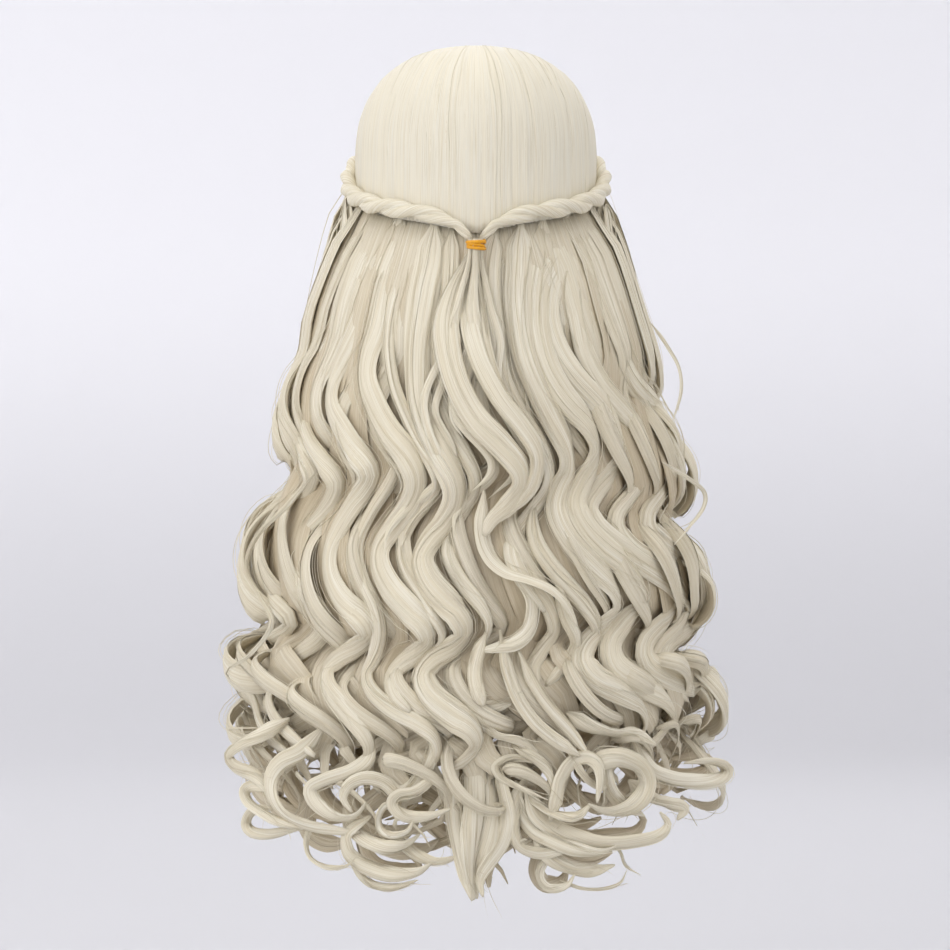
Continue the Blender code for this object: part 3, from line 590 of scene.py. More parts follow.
def hair_course(layer, across, down, out=0.0, shift=0.0, turns_more=0.0, reach_more=1.0,
                length=None, loop=0.0):
    """Points of a layer of long hair, the layer's outward and sideways directions, and the wave.

    across runs from -1 at the left edge to 1 at the right edge, and down from 0 at the seam to 1
    at the tip. out is the distance outside the layer's middle surface, shift a distance along it.
    loop is the share of the reach that a curled end also rises and falls.
    """
    top_angle = across * layer.angle_top
    angle = across * (layer.angle_top + (layer.angle_end - layer.angle_top) * down)
    top = layer.top_level(top_angle)
    if length is None:
        length = lock_value(layer, "length", across)
    level = top + (crown_top - hair_length * length - top) * down
    spread = read_table(FALL_OPENING, "down", "spread", down)
    offset = layer.offset + layer.thickness / 2.0
    share = dome_share(level, offset) * nape_share(level, layer.narrowing)
    half_width = (cap_half_width + offset) * share + layer.side * spread
    back_depth = (cap_half_depth + offset) * share + layer.back * spread
    front_depth = (cap_half_depth + offset) * share + layer.front * spread
    point = plan_point(half_width, back_depth, front_depth, angle, level)
    depth = np.where(np.cos(angle) > 0.0, back_depth, front_depth)
    flat = np.zeros_like(level)
    normal = unit(np.stack([np.sin(angle) / half_width, -np.cos(angle) / depth, flat], -1))
    along = np.stack([-normal[..., 1], normal[..., 0], flat], -1)
    drop = crown_top - level
    swing = 2.0 * math.pi * (
        0.25 + (drop - wave_first_drop) / wave_pitch + turns_more
        + lock_value(layer, "phase", across)
    )
    swing = swing + 2.0 * math.pi * wave_shift(across, drop / hair_length) - step_share * angle
    swing = swing - wave_skew * np.sin(swing)
    reach = wave_reach * reach_more * read_table(WAVES, "drop", "reach", drop / hair_length)
    sideways = reach * (np.sin(swing) - fold_sharpness * np.cos(2.0 * swing)) + shift
    deepness = wave_depth_share + side_depth_more * np.sin(angle) ** 2
    outward = reach * deepness * np.cos(swing + fold_lead) + out
    point = point + along * sideways[..., None] + normal * outward[..., None]
    point[..., 2] += loop * reach * np.cos(swing)
    return point, normal, along, swing, np.clip(reach / wave_reach, 0.0, 1.0)


class HairMesh:
    """Closed ribbons and strands of hair, gathered for one joined mesh."""

    def __init__(self):
        self.points = []
        self.corners = []
        self.starts = []
        self.streak = []
        self.sheet = []
        self.tone = []
        self.deep = []
        self.folds = []
        self.point_count = 0
        self.corner_count = 0
        self.column = 0.0

    def add(self, paths, facing, half_width, half_thick, profile, tone, deep, weight=5.0):
        """Add one ribbon for each row of paths, which is (ribbons, rows, 3)."""
        ribbons, rows = paths.shape[:2]
        sides = len(profile)
        forward = unit(np.gradient(paths, axis=1))
        side = unit(np.cross(forward, facing))
        out = np.cross(side, forward)
        half_width = np.broadcast_to(half_width, (ribbons, rows))
        half_thick = np.broadcast_to(half_thick, (ribbons, rows))
        points = (
            paths[:, :, None]
            + side[:, :, None] * (half_width[..., None] * profile[:, 0])[..., None]
            + out[:, :, None] * (half_thick[..., None] * profile[:, 1])[..., None]
        )
        ring = np.arange(sides)
        following = (ring + 1) % sides
        base = self.point_count + (np.arange(ribbons)[:, None] * rows + np.arange(rows)) * sides
        upper, lower = base[:, :-1, None], base[:, 1:, None]
        quads = np.stack([upper + ring, upper + following, lower + following, lower + ring], -1)
        first = base[:, 0, None] + ring[::-1]
        last = base[:, -1, None] + ring
        if profile is RIBBON_PROFILE:
            for corner in (0, 3):
                fold = np.stack([base[:, :-1] + corner, base[:, 1:] + corner], -1)
                self.folds.append(fold.reshape(-1, 2))
        self.points.append(points.reshape(-1, 3))
        self.corners += [quads.reshape(-1), first.reshape(-1), last.reshape(-1)]
        quad_starts = self.corner_count + 4 * np.arange(quads.size // 4)
        cap_starts = self.corner_count + quads.size + sides * np.arange(2 * ribbons)
        self.starts += [quad_starts, cap_starts]
        self.point_count += ribbons * rows * sides
        self.corner_count += quads.size + first.size + last.size

        steps = np.linalg.norm(np.diff(paths, axis=1), axis=-1)
        travelled = np.concatenate([np.zeros((ribbons, 1)), np.cumsum(steps, axis=1)], 1)
        size = np.stack([half_width.max(1), half_thick.max(1)], -1)
        edges = (np.roll(profile, -1, axis=0) - profile)[None] * size[:, None]
        around = np.cumsum(np.linalg.norm(edges, axis=-1), axis=1)
        around = np.concatenate([np.zeros((ribbons, 1)), around], 1)
        around = around + 0.1 * (np.arange(ribbons)[:, None] + len(self.points) * 17)
        streak = np.zeros(quads.shape + (2,))
        left, right = around[:, None, :-1], around[:, None, 1:]
        streak[..., 0, 0] = streak[..., 3, 0] = left
        streak[..., 1, 0] = streak[..., 2, 0] = right
        streak[..., 0, 1] = streak[..., 1, 1] = travelled[:, :-1, None]
        streak[..., 2, 1] = streak[..., 3, 1] = travelled[:, 1:, None]
        ends = np.stack([around[:, :-1], np.zeros((ribbons, sides))], -1)
        last_ends = ends + np.stack([np.zeros(ribbons), travelled[:, -1]], -1)[:, None]
        for part in (streak, ends[:, ::-1], last_ends):
            self.streak.append(part.reshape(-1, 2))

        strip = self.column + weight * np.arange(ribbons)[:, None]
        self.column += weight * ribbons
        across = strip + weight * (0.06 + 0.88 * np.arange(sides + 1) / sides)
        down = 0.01 + 0.98 * np.arange(rows) / (rows - 1.0)
        sheet = np.zeros(quads.shape + (2,))
        sheet[..., 0, 0] = sheet[..., 3, 0] = across[:, None, :-1]
        sheet[..., 1, 0] = sheet[..., 2, 0] = across[:, None, 1:]
        sheet[..., 0, 1] = sheet[..., 1, 1] = down[None, :-1, None]
        sheet[..., 2, 1] = sheet[..., 3, 1] = down[None, 1:, None]
        turn = 2.0 * math.pi * ring / sides
        cap_u = across.mean(1)[:, None] + weight * 0.3 * np.cos(turn)
        first_v = np.broadcast_to(0.004 + 0.003 * np.sin(turn), cap_u.shape)
        self.sheet += [
            sheet.reshape(-1, 2),
            np.stack([cap_u, first_v], -1).reshape(-1, 2),
            np.stack([cap_u, 1.0 - first_v], -1).reshape(-1, 2),
        ]
        shape = (ribbons, rows, sides)
        self.tone.append(np.broadcast_to(np.reshape(tone, (ribbons, 1, 1)), shape).reshape(-1))
        # Painted shade of each point, from 0 for none
        deep = np.asarray(deep, float)
        deep = deep.reshape(deep.shape + (1,) * (3 - deep.ndim))
        self.deep.append(np.broadcast_to(deep, shape).reshape(-1))

    def build(self, name, material):
        """Make the object, at the origin, with its streak map and its bake map."""
        mesh = bpy.data.meshes.new(name)
        points = np.concatenate(self.points)
        corners = np.concatenate(self.corners)
        starts = np.concatenate(self.starts)
        mesh.vertices.add(len(points))
        mesh.loops.add(len(corners))
        mesh.polygons.add(len(starts))
        mesh.vertices.foreach_set("co", points.astype(np.float32).ravel())
        mesh.loops.foreach_set("vertex_index", corners.astype(np.int32))
        mesh.polygons.foreach_set("loop_start", starts.astype(np.int32))
        mesh.update(calc_edges=True)
        mesh.polygons.foreach_set("use_smooth", np.ones(len(starts), bool))
        if self.folds:
            ends = np.empty(2 * len(mesh.edges), np.int32)
            mesh.edges.foreach_get("vertices", ends)
            ends = np.sort(ends.reshape(-1, 2).astype(np.int64), axis=1)
            folds = np.sort(np.concatenate(self.folds).astype(np.int64), axis=1)
            total = len(points)
            sharp = np.isin(ends[:, 0] * total + ends[:, 1], folds[:, 0] * total + folds[:, 1])
            creases = mesh.attributes.new("sharp_edge", "BOOLEAN", "EDGE")
            creases.data.foreach_set("value", sharp)
        sheet = np.concatenate(self.sheet)
        sheet[:, 0] /= self.column
        streak_layer = mesh.uv_layers.new(name="strand_map")
        streak_layer.data.foreach_set("uv", np.concatenate(self.streak).astype(np.float32).ravel())
        sheet_layer = mesh.uv_layers.new(name="OFBake")
        sheet_layer.data.foreach_set("uv", sheet.astype(np.float32).ravel())
        # tone varies at random from ribbon to ribbon; the other attribute is painted shade
        for key, values in (("tone", self.tone), ("deep", self.deep)):
            layer = mesh.attributes.new(key, "FLOAT", "POINT")
            layer.data.foreach_set("value", np.concatenate(values).astype(np.float32))
        mesh.materials.append(material)
        mesh.validate()
        made = bpy.data.objects.new(name, mesh)
        bpy.context.scene.collection.objects.link(made)
        return made


def wander(random, ribbons, along, size):
    """Smooth sideways drift of each ribbon along its way, about size wide."""
    drift = np.zeros((ribbons, along.shape[-1]))
    for waves, share in ((0.9, 0.6), (2.1, 0.4), (4.3, 0.2)):
        start = random.random((ribbons, 1))
        height = random.normal(0.0, 1.0, (ribbons, 1))
        drift += share * height * np.sin(2.0 * math.pi * (waves * along + start))
    return size * drift


def outer_top_level(angle):
    """Top of the outer long hair, just below the seam."""
    return seam_level(angle) - seam_gap


def under_top_level(angle):
    """Top of the under hair, on the nape of the cap."""
    return np.full_like(angle, -under_top_depth)


outer_layer = Layer(
    locks=OUTER_LOCKS,
    angle_top=edge_angle_top,
    angle_end=edge_angle_end,
    side=fall_side_spread,
    back=fall_back_spread,
    front=fall_front_spread,
    top_level=outer_top_level,
    offset=seat_gap,
    thickness=crown_thickness,
    narrowing=0.0,
)
under_layer = Layer(
    locks=UNDER_LOCKS,
    angle_top=under_angle_top,
    angle_end=under_angle_end,
    side=under_side_spread,
    back=under_back_spread,
    front=under_back_spread,
    top_level=under_top_level,
    offset=under_seat_gap,
    thickness=under_thickness,
    narrowing=nape_narrowing,
)


def row_places(rows):
    """Places down a lock, closer together in its waves and closest in its curled end."""
    return np.interp(np.linspace(0.0, 1.0, rows), (0.0, 0.10, 0.62, 1.0), (0.0, 0.25, 0.76, 1.0))


def lock_spacing(layer, count, down):
    """Distance between lock middles down the layer, all the way round."""
    angle = layer.angle_top + (layer.angle_end - layer.angle_top) * down
    spread = read_table(FALL_OPENING, "down", "spread", down)
    round_size = (cap_half_width + cap_half_depth) / 2.0 + layer.thickness
    round_size = round_size + (layer.side + layer.back) / 2.0 * spread
    return 2.0 * angle * round_size / count


def new_node(tree, kind, **values):
    """A shader node with its settings, and its inputs by name."""
    made = tree.nodes.new(kind)
    for key, value in values.items():
        if key in made.inputs:
            made.inputs[key].default_value = value
        else:
            setattr(made, key, value)
    return made


def new_material(name):
    """A material with nodes, its tree and its shader."""
    material = bpy.data.materials.new(name)
    material.use_nodes = True
    return material, material.node_tree, material.node_tree.nodes["Principled BSDF"]


def ranged(tree, value, low, high, to_low=0.0, to_high=1.0, kind="LINEAR"):
    """A value stretched to a range, and held in it."""
    node = new_node(tree, "ShaderNodeMapRange", clamp=True, interpolation_type=kind)
    limits = {"From Min": low, "From Max": high, "To Min": to_low, "To Max": to_high}
    for key, number in limits.items():
        node.inputs[key].default_value = number
    tree.links.new(value, node.inputs["Value"])
    return node.outputs["Result"]


def blended(tree, share, first, second, blend="MIX"):
    """Mix of two colours, each a colour or a socket."""
    node = new_node(tree, "ShaderNodeMix", data_type="RGBA", blend_type=blend)
    tree.links.new(share, node.inputs["Factor"])
    for socket, colour in ((node.inputs[6], first), (node.inputs[7], second)):
        if isinstance(colour, tuple):
            socket.default_value = (*colour, 1.0)
        else:
            tree.links.new(colour, socket)
    return node.outputs[2]


def add_relief(tree, shader, height, strength, distance):
    """Fine relief on a shader, from a height."""
    bump = new_node(tree, "ShaderNodeBump", Strength=strength, Distance=distance)
    tree.links.new(height, bump.inputs["Height"])
    tree.links.new(bump.outputs["Normal"], shader.inputs["Normal"])


def hair_material(name, light, middle, dark, gap, relief=0.65):
    """Satin fibre with fine streaks that run along each ribbon."""
    material, tree, shader = new_material(name)
    link = tree.links.new
    strand = new_node(tree, "ShaderNodeUVMap", uv_map="strand_map")
    tone = new_node(tree, "ShaderNodeAttribute", attribute_name="tone")
    deep = new_node(tree, "ShaderNodeAttribute", attribute_name="deep")

    def streaks(across, along, rough):
        """Noise drawn out along the fibre: cells a metre across, and along."""
        mapping = new_node(tree, "ShaderNodeMapping", Scale=(across, along, 1.0))
        noise = new_node(tree, "ShaderNodeTexNoise", noise_dimensions="2D", Scale=1.0, Detail=2.0,
                         Roughness=rough)
        link(strand.outputs["UV"], mapping.inputs["Vector"])
        link(mapping.outputs["Vector"], noise.inputs["Vector"])
        return noise.outputs["Fac"]

    fine = streaks(1500.0, 16.0, 0.6)
    broad = streaks(430.0, 8.0, 0.5)
    base = blended(tree, ranged(tree, broad, 0.36, 0.66), light, middle)
    base = blended(tree, ranged(tree, fine, 0.50, 0.68, 0.0, 0.62), base, dark)
    base = blended(tree, ranged(tree, tone.outputs["Fac"], 0.0, 1.0, 0.0, 0.5), base, middle)
    # Painted shade: the colour is multiplied towards the shade colour as far as the attribute says
    base = blended(tree, deep.outputs["Fac"], base, gap, "MULTIPLY")
    link(base, shader.inputs["Base Color"])
    link(ranged(tree, broad, 0.3, 0.7, 0.46, 0.62), shader.inputs["Roughness"])
    shader.inputs["Specular IOR Level"].default_value = 0.34
    shader.inputs["Anisotropic"].default_value = 0.55
    tangent = new_node(tree, "ShaderNodeTangent", direction_type="UV_MAP", uv_map="strand_map")
    link(tangent.outputs["Tangent"], shader.inputs["Tangent"])
    add_relief(tree, shader, fine, relief, 0.0004)
    return material


def shared_hair_material(context, name):
    """The hair material of that name, made once."""
    found = bpy.data.materials.get(name)
    if found:
        return found
    look = context.scene.wig_hair
    light, middle = tuple(look.light), tuple(look.middle)
    dark, gap = tuple(look.dark), tuple(look.gap)
    # Under hair: the hair colours one step darker, as painted shade for hair beneath the outer
    # layer
    if name == "under_fibre_strands":
        return hair_material(name, middle, dark, gap, gap)
    if name == "sleek_fibre_strands":
        calm = tuple(0.5 * (first + second) for first, second in zip(light, middle))
        streak = tuple(0.5 * (first + second) for first, second in zip(middle, dark))
        light = tuple(0.90 * part for part in light)
        return hair_material(name, light, calm, streak, gap, 0.3)
    return hair_material(name, light, middle, dark, gap)


def settle(piece, slot, *nodes):
    """Tie a finished piece to the body and hide the nodes that it stands for; slot is not used."""
    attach(piece, BODY)
    if nodes:
        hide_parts(*nodes)


class WigHairSettings(bpy.types.PropertyGroup):
    """Colours and sizes of the fibre."""

    light: FloatVectorProperty(
        name="Light fibre", description="Colour of the lightest strands",
        subtype="COLOR", size=3, min=0.0, max=1.0, default=(0.86, 0.815, 0.675),
    )
    middle: FloatVectorProperty(
        name="Middle fibre", description="Colour of most strands",
        subtype="COLOR", size=3, min=0.0, max=1.0, default=(0.76, 0.69, 0.52),
    )
    dark: FloatVectorProperty(
        name="Dark fibre", description="Colour of the darkest strands",
        subtype="COLOR", size=3, min=0.0, max=1.0, default=(0.54, 0.45, 0.29),
    )
    # Painted shade: the colour that fibre is darkened towards between and under the locks
    gap: FloatVectorProperty(
        name="Deep fibre", description="Colour of the fibre deep between the locks",
        subtype="COLOR", size=3, min=0.0, max=1.0, default=(0.62, 0.52, 0.39),
    )
    ribbon_thickness: FloatProperty(
        name="Ribbon thickness", description="Thickness of a ribbon of fibres",
        unit="LENGTH", min=0.0005, max=0.006, default=0.0007,
    )
    strand_width: FloatProperty(
        name="Strand width", description="Width of a single loose strand",
        unit="LENGTH", min=0.0001, max=0.002, default=0.00042,
    )
    curl_half_width: FloatProperty(
        name="Curl half width", description="Half the width of the round that free curls lie on",
        unit="LENGTH", min=0.1, max=0.3, default=0.185,
    )
    curl_depth: FloatProperty(
        name="Curl depth", description="How far back from the origin the free curls lie",
        unit="LENGTH", min=0.05, max=0.2, default=0.118,
    )


class WigCapSettings(bpy.types.PropertyGroup):
    """Net cap, its wefts and its band."""

    thread: FloatVectorProperty(
        name="Thread", description="Colour of the threads of the net",
        subtype="COLOR", size=3, min=0.0, max=1.0, default=(0.62, 0.53, 0.42),
    )
    # Painted shade seen through the holes of the net
    hole_shade: FloatVectorProperty(
        name="Holes", description="Colour in the holes of the net",
        subtype="COLOR", size=3, min=0.0, max=1.0, default=(0.30, 0.24, 0.18),
    )
    band_width: FloatProperty(
        name="Band width", description="Width of the elastic band round the cap's edge",
        unit="LENGTH", min=0.002, max=0.02, default=0.008,
    )
    weft_rows: IntProperty(
        name="Weft rows", description="Rows of wefts sewn round the cap", min=3, max=30, default=13,
    )


class WigTieSettings(bpy.types.PropertyGroup):
    """Elastic tie."""

    colour: FloatVectorProperty(
        name="Colour", description="Colour of the elastic",
        subtype="COLOR", size=3, min=0.0, max=1.0, default=(0.92, 0.47, 0.012),
    )
    thickness: FloatProperty(
        name="Thickness", description="Thickness of the elastic",
        unit="LENGTH", min=0.0005, max=0.004, default=0.0024,
    )
    turns: IntProperty(
        name="Turns", description="Turns of the elastic round the hair", min=1, max=6, default=3,
    )


class WigStageSettings(bpy.types.PropertyGroup):
    """Backdrop and light."""

    backdrop: FloatVectorProperty(
        name="Backdrop", description="Colour of the floor and the wall round the wig",
        subtype="COLOR", size=3, min=0.0, max=1.0, default=(0.91, 0.91, 0.943),
    )
    key_power: FloatProperty(
        name="Key light", description="Power of the large soft light", min=0.0, max=500.0,
        subtype="POWER", default=11.5,
    )
    floor_drop: FloatProperty(
        name="Floor drop", description="Distance from the origin down to the floor",
        unit="LENGTH", min=0.6, max=2.0, default=0.72,
    )
    camera_distance: FloatProperty(
        name="Camera distance", description="Distance from the camera to the wig",
        unit="LENGTH", min=0.5, max=6.0, default=3.0,
    )


def lock_facing(normal, along, swing, strength):
    """Way that a lock faces: outward, but turned on its edge where it folds back."""
    fold = ((1.0 + np.sin(swing)) / 2.0) ** 3
    lean = ((1.0 - np.sin(swing)) / 2.0) ** 3
    turn = strength * (fold_turn * fold - lean_turn * lean)
    return normal * np.cos(turn)[..., None] + along * np.sin(turn)[..., None]


def add_bundle(hair, path, facing, half_width, half_thick, deep, random, look, kind):
    """Add one bundle of hair along a path: a body, ribbons over it, and loose strands round it."""
    rows = path.shape[1]
    forward = unit(np.gradient(path, axis=1))
    sideways = unit(np.cross(facing, forward))
    outward = np.cross(forward, sideways)
    profile = body_profile(kind.corners)
    # Painted shade on the flatter underside of the body, added to the lock's own
    under = np.where(profile[:, 1] < -0.01, 0.3, 0.0)
    hair.add(path, outward, half_width, half_thick, profile, np.array([random.random()]),
             np.clip(deep[..., None] + under, 0.0, 1.0))
    down = np.linspace(0.0, 1.0, rows)[None]
    count = kind.ribbons
    places = np.linspace(-ribbon_reach, ribbon_reach, count) + random.normal(0.0, 0.05, count)
    places = np.clip(places[:, None] + wander(random, count, down, 0.08), -0.97, 0.97)
    high = np.sqrt(1.0 - places**2)
    raised = half_thick * high - ribbon_inset
    paths = path + sideways * (places * half_width)[..., None] + outward * raised[..., None]
    lean = places * half_thick
    rise = high * half_width
    ribbon_facing = unit(sideways * lean[..., None] + outward * rise[..., None])
    ends = np.clip((random.uniform(0.88, 1.0, (count, 1)) - down) / 0.10, 0.03, 1.0) ** 0.7
    width = half_width * (1.5 / count) * random.uniform(0.7, 1.15, (count, 1)) * ends
    thick = np.minimum(look.ribbon_thickness / 2.0, half_thick * 0.5)
    thick = thick * random.uniform(0.6, 1.3, (count, 1)) * ends
    # The ribbons carry the lock's painted shade
    hair.add(paths, ribbon_facing, width, thick, RIBBON_PROFILE, random.random(count),
             np.broadcast_to(deep, width.shape))
    if not kind.loose:
        return
    count = kind.loose
    places = random.uniform(-loose_reach, loose_reach, (count, 1))
    places = places + wander(random, count, down, 0.25)
    ends = 1.0 - 0.3 * random.random((count, 1)) ** 2
    raised = half_thick * random.uniform(-0.6, 1.8, (count, 1)) + 0.0004
    paths = path + sideways * (places * half_width)[..., None] + outward * raised[..., None]
    loosened = np.clip((down - 0.7) / 0.3, 0.0, 1.0) ** 2
    paths = paths + loose_parting * loosened[..., None] * random.normal(0.0, 1.0, (count, 1, 3))
    size = look.strand_width / 2.0 * random.uniform(0.6, 1.4, (count, 1))
    size = size * np.clip((ends - down) / 0.05, 0.05, 1.0)
    # Loose strands carry half the lock's painted shade
    hair.add(paths, outward + 0.0 * paths, size, size, STRAND_PROFILE, random.random(count),
             np.broadcast_to(deep * 0.5, size.shape), weight=1.5)


def add_lock(hair, layer, across, count, random, look, kind, length_more=1.0, tip_painted_shade=None):
    """Add one lock of long hair in a layer."""
    steps = row_places(kind.rows)
    down = steps[None]
    straight = np.clip(1.0 - down / straight_until, 0.0, 1.0)
    curl_start = random.uniform(*curl_starts)
    tip = np.clip((down - curl_start) / (1.0 - curl_start), 0.0, 1.0)
    phase = random.normal(0.0, 0.04) + random.uniform(0.2, 1.1) * tip**1.8
    unevenness = 2.0 * math.pi * (down * random.uniform(1.2, 2.4) + random.random())
    phase = phase + 0.06 * np.sin(unevenness)
    loop = random.choice((-1.0, 1.0, 1.0)) * random.uniform(0.4, 1.2) * tip
    bulk = read_table(FALL_OPENING, "down", "bulk", down)
    fullness = kind.fullness * random.uniform(0.80, 1.12)
    fullness = fullness + (np.maximum(root_fullness, fullness) - fullness) * straight
    spacing = lock_spacing(layer, count, down)
    length = lock_value(layer, "length", np.array(across)) * length_more
    reach = random.normal(1.0, 0.07) + 0.22 * np.sin(math.pi * np.clip(tip * 1.2, 0.0, 1.0))
    reach = kind.wave * reach * (1.0 - 0.5 * np.clip((tip - 0.7) / 0.3, 0.0, 1.0))
    weave = np.sin(2.0 * math.pi * (down * random.uniform(1.0, 2.2) + random.random()))
    weave = weave_size * bulk * weave
    drift = wander(random, 1, down, drift_reach) * bulk
    nearer = deep_nearer if kind is DEEP_LOCK else lock_nearer
    out = kind.out * (1.0 - nearer * np.sqrt(straight))
    path, normal, along, swing, strength = hair_course(
        layer, np.full_like(down, across), down, out=out + weave, shift=drift,
        turns_more=phase, reach_more=reach, length=length, loop=loop,
    )
    facing = normal if kind is DEEP_LOCK else lock_facing(normal, along, swing, strength)
    narrow = 1.0 - 0.24 * strength * (1.0 - np.cos(swing)) / 2.0
    end = taper(down, 0.14, 0.6)
    half_width = spacing * 0.5 * fullness * narrow * (1.0 - 0.52 * tip) * (0.10 + 0.90 * end)
    half_thick = (kind.thickness * (0.30 + 0.70 * bulk)) * (1.0 - 0.30 * tip) * (0.12 + 0.88 * end)
    # Painted shade: the kind's own share below the straight top, more where the wave turns the lock
    # away behind its neighbours, and eased to a set amount at the tip
    behind = strength * ((1.0 - np.cos(swing + fold_lead)) / 2.0) ** 1.5
    deep = kind.deep * (1.0 - 0.75 * straight) + 0.22 * behind
    if tip_painted_shade is not None:
        deep = deep + (tip_painted_shade - deep) * np.clip((down - 0.70) / 0.25, 0.0, 1.0)
    add_bundle(hair, path, facing, half_width, half_thick, deep, random, look, kind)


def taper(share, length, power):
    """1 along a lock, and down to 0 over the last part of it."""
    return np.clip((1.0 - share) / length, 0.0, 1.0) ** power


def smooth_way(points, rows):
    """Points evenly spaced along a smooth curve through some points."""
    points = np.array(points, float)
    ghost = np.concatenate([[2 * points[0] - points[1]], points, [2 * points[-1] - points[-2]]])
    place = np.linspace(0.0, len(points) - 1.0, 12 * len(points))
    index = np.minimum(place.astype(int), len(points) - 2)
    t = (place - index)[:, None]
    a, b, c, d = (ghost[index + number] for number in range(4))
    square = (2 * a - 5 * b + 4 * c - d) * t**2
    curve = 0.5 * (2 * b + (c - a) * t + square + (3 * b - a - 3 * c + d) * t**3)
    steps = np.linalg.norm(np.diff(curve, axis=0), axis=-1)
    travelled = np.concatenate([[0.0], np.cumsum(steps)])
    wanted = np.linspace(0.0, travelled[-1], rows)
    return np.stack([np.interp(wanted, travelled, column) for column in curve.T], -1)


def picture_metres(across, row):
    """Metres aside of the wig's middle, and height, of a place in the photo at its own scale."""
    sideways = (across - picture_centre_line) * millimetres_a_pixel / 1000.0
    return sideways, crown_top - (row - picture_top) * millimetres_a_pixel / 1000.0


def picture_place(across, level, depth, camera_distance):
    """Place in the world at a depth that the photo shows at some of its pixels."""
    nearer = (camera_distance + depth) / (camera_distance - scale_depth)
    x = camera_side + (across - picture_middle) * millimetres_a_pixel / 1000.0 * nearer
    z = camera_level - (level - picture_middle) * millimetres_a_pixel / 1000.0 * nearer
    return np.stack([x, depth, z], -1)


def back_place(sideways, level):
    """How far back the middle of the long hair lies at a place, and which way it faces there."""
    top = outer_top_level(np.zeros_like(level))
    down = np.clip((top - level) / (top - crown_top + hair_length * 0.92), 0.0, 1.0)
    spread = read_table(FALL_OPENING, "down", "spread", down)
    offset = outer_layer.offset + outer_layer.thickness / 2.0
    half_width = cap_half_width + offset + outer_layer.side * spread
    depth = cap_half_depth + offset + outer_layer.back * spread
    share = np.clip(sideways / half_width, -0.985, 0.985)
    return depth * np.sqrt(1.0 - share**2), np.arcsin(share)


def add_back_lock(hair, lock, random, look, camera_distance):
    """Add a lock of the back where the photo shows it."""
    rows = int(np.clip(4.6 * len(lock.way), 24, BACK_LOCK.rows))
    way = smooth_way(lock.way, rows)
    across, level = way[:, 0], way[:, 1]
    share = np.linspace(0.0, 1.0, rows)
    rightward = unit(np.gradient(way, axis=0))[:, 0]
    turning = np.gradient(rightward) * rows / 14.0
    turning = np.convolve(np.pad(turning, 3, mode="edge"), np.full(7, 1.0 / 7.0), mode="valid")
    bulk = ease((level - wave_top_row) / wave_grow_rows)
    lift = back_lift + (lock.out - back_lift_less) * bulk + back_wave_depth * bulk * rightward
    depth, outward_turn = back_place(*picture_metres(across, level))
    depth = -(depth + lift)
    size = 0.2 + 0.8 * ease(share / (0.05 if level[0] < seam_lock_row else 0.25))
    if lock.fall == "tie_tail":
        home = 1.0 - ease((level - tail_leave_row) / tail_leave_rows)
        depth = depth - tail_lift
        depth = depth + (middle_of_tie.y - depth) * home
        size = 0.22 + 0.78 * ease((level - tail_open_row) / tail_open_rows)
    path = picture_place(across, level, depth, camera_distance)[None]
    turn = fold_turn * np.clip(-turning, 0.0, 1.0) - back_lean_turn * np.clip(turning, 0.0, 1.0)
    turn = turn * bulk + outward_share * outward_turn
    facing = np.stack([np.sin(turn), -np.cos(turn), np.zeros(rows)], -1)[None]
    narrow = 1.0 - 0.30 * bulk * (1.0 - rightward) / 2.0
    size = size * narrow * (0.2 + 0.8 * taper(share, 0.12, 0.6))
    flat = 0.35 + 0.65 * bulk
    # Painted shade on the stretches that run back from right to left, where the lock turns behind
    deep = 0.20 * bulk * ((1.0 - rightward) / 2.0) ** 1.5
    kind = BACK_LOCK if lock.width > 0.010 else BACK_LOCK._replace(ribbons=3, loose=5, corners=10)
    thick = min(kind.thickness, lock.width * 0.26)
    add_bundle(hair, path, facing, (lock.width / 2.0 * size)[None], (thick * flat * size)[None],
               deep[None], random, look, kind)


def add_curl(hair, curl, random, look, camera_distance):
    """Add a free strand, or a curled end with a filling curl behind it, along its way."""
    kind = CURL if curl.width > strand_curl_width else WISP
    way = smooth_way(curl.way, kind.rows)
    share = np.linspace(0.0, 1.0, kind.rows)
    sideways = picture_metres(way[:, 0], way[:, 1])[0]
    round_back = np.sqrt(np.clip(1.0 - (sideways / look.curl_half_width) ** 2, 0.0, 1.0))
    front = 0.007 * share + 0.003 * np.sin(2.0 * math.pi * (share + random.random()))
    depth = -look.curl_depth * round_back - curl.out - front
    path = picture_place(way[:, 0], way[:, 1], depth, camera_distance)[None]
    turn = random.uniform(-0.5, 0.5) + 0.6 * np.sin(2.0 * math.pi * (share + random.random()))
    forward = unit(np.gradient(path[0], axis=0))
    level = unit(np.cross(forward, np.array([0.0, -1.0, 0.0])))
    back = np.cross(level, forward)
    facing = (back * np.cos(turn)[:, None] + level * np.sin(turn)[:, None])[None]
    root = np.clip(share / 0.15, 0.0, 1.0)
    size = ((0.12 + 0.88 * root) * (0.15 + 0.85 * taper(share, 0.30, 0.7)))[None]
    thick = min(kind.thickness, curl.width * 0.36)
    # Painted shade where the curl comes out from within the hair
    deep = (0.25 * (1.0 - root))[None]
    add_bundle(hair, path, facing, curl.width / 2.0 * size, thick * size, deep, random, look, kind)
    if kind is CURL:
        add_filling_curl(hair, curl, round_back, random, look, camera_distance)


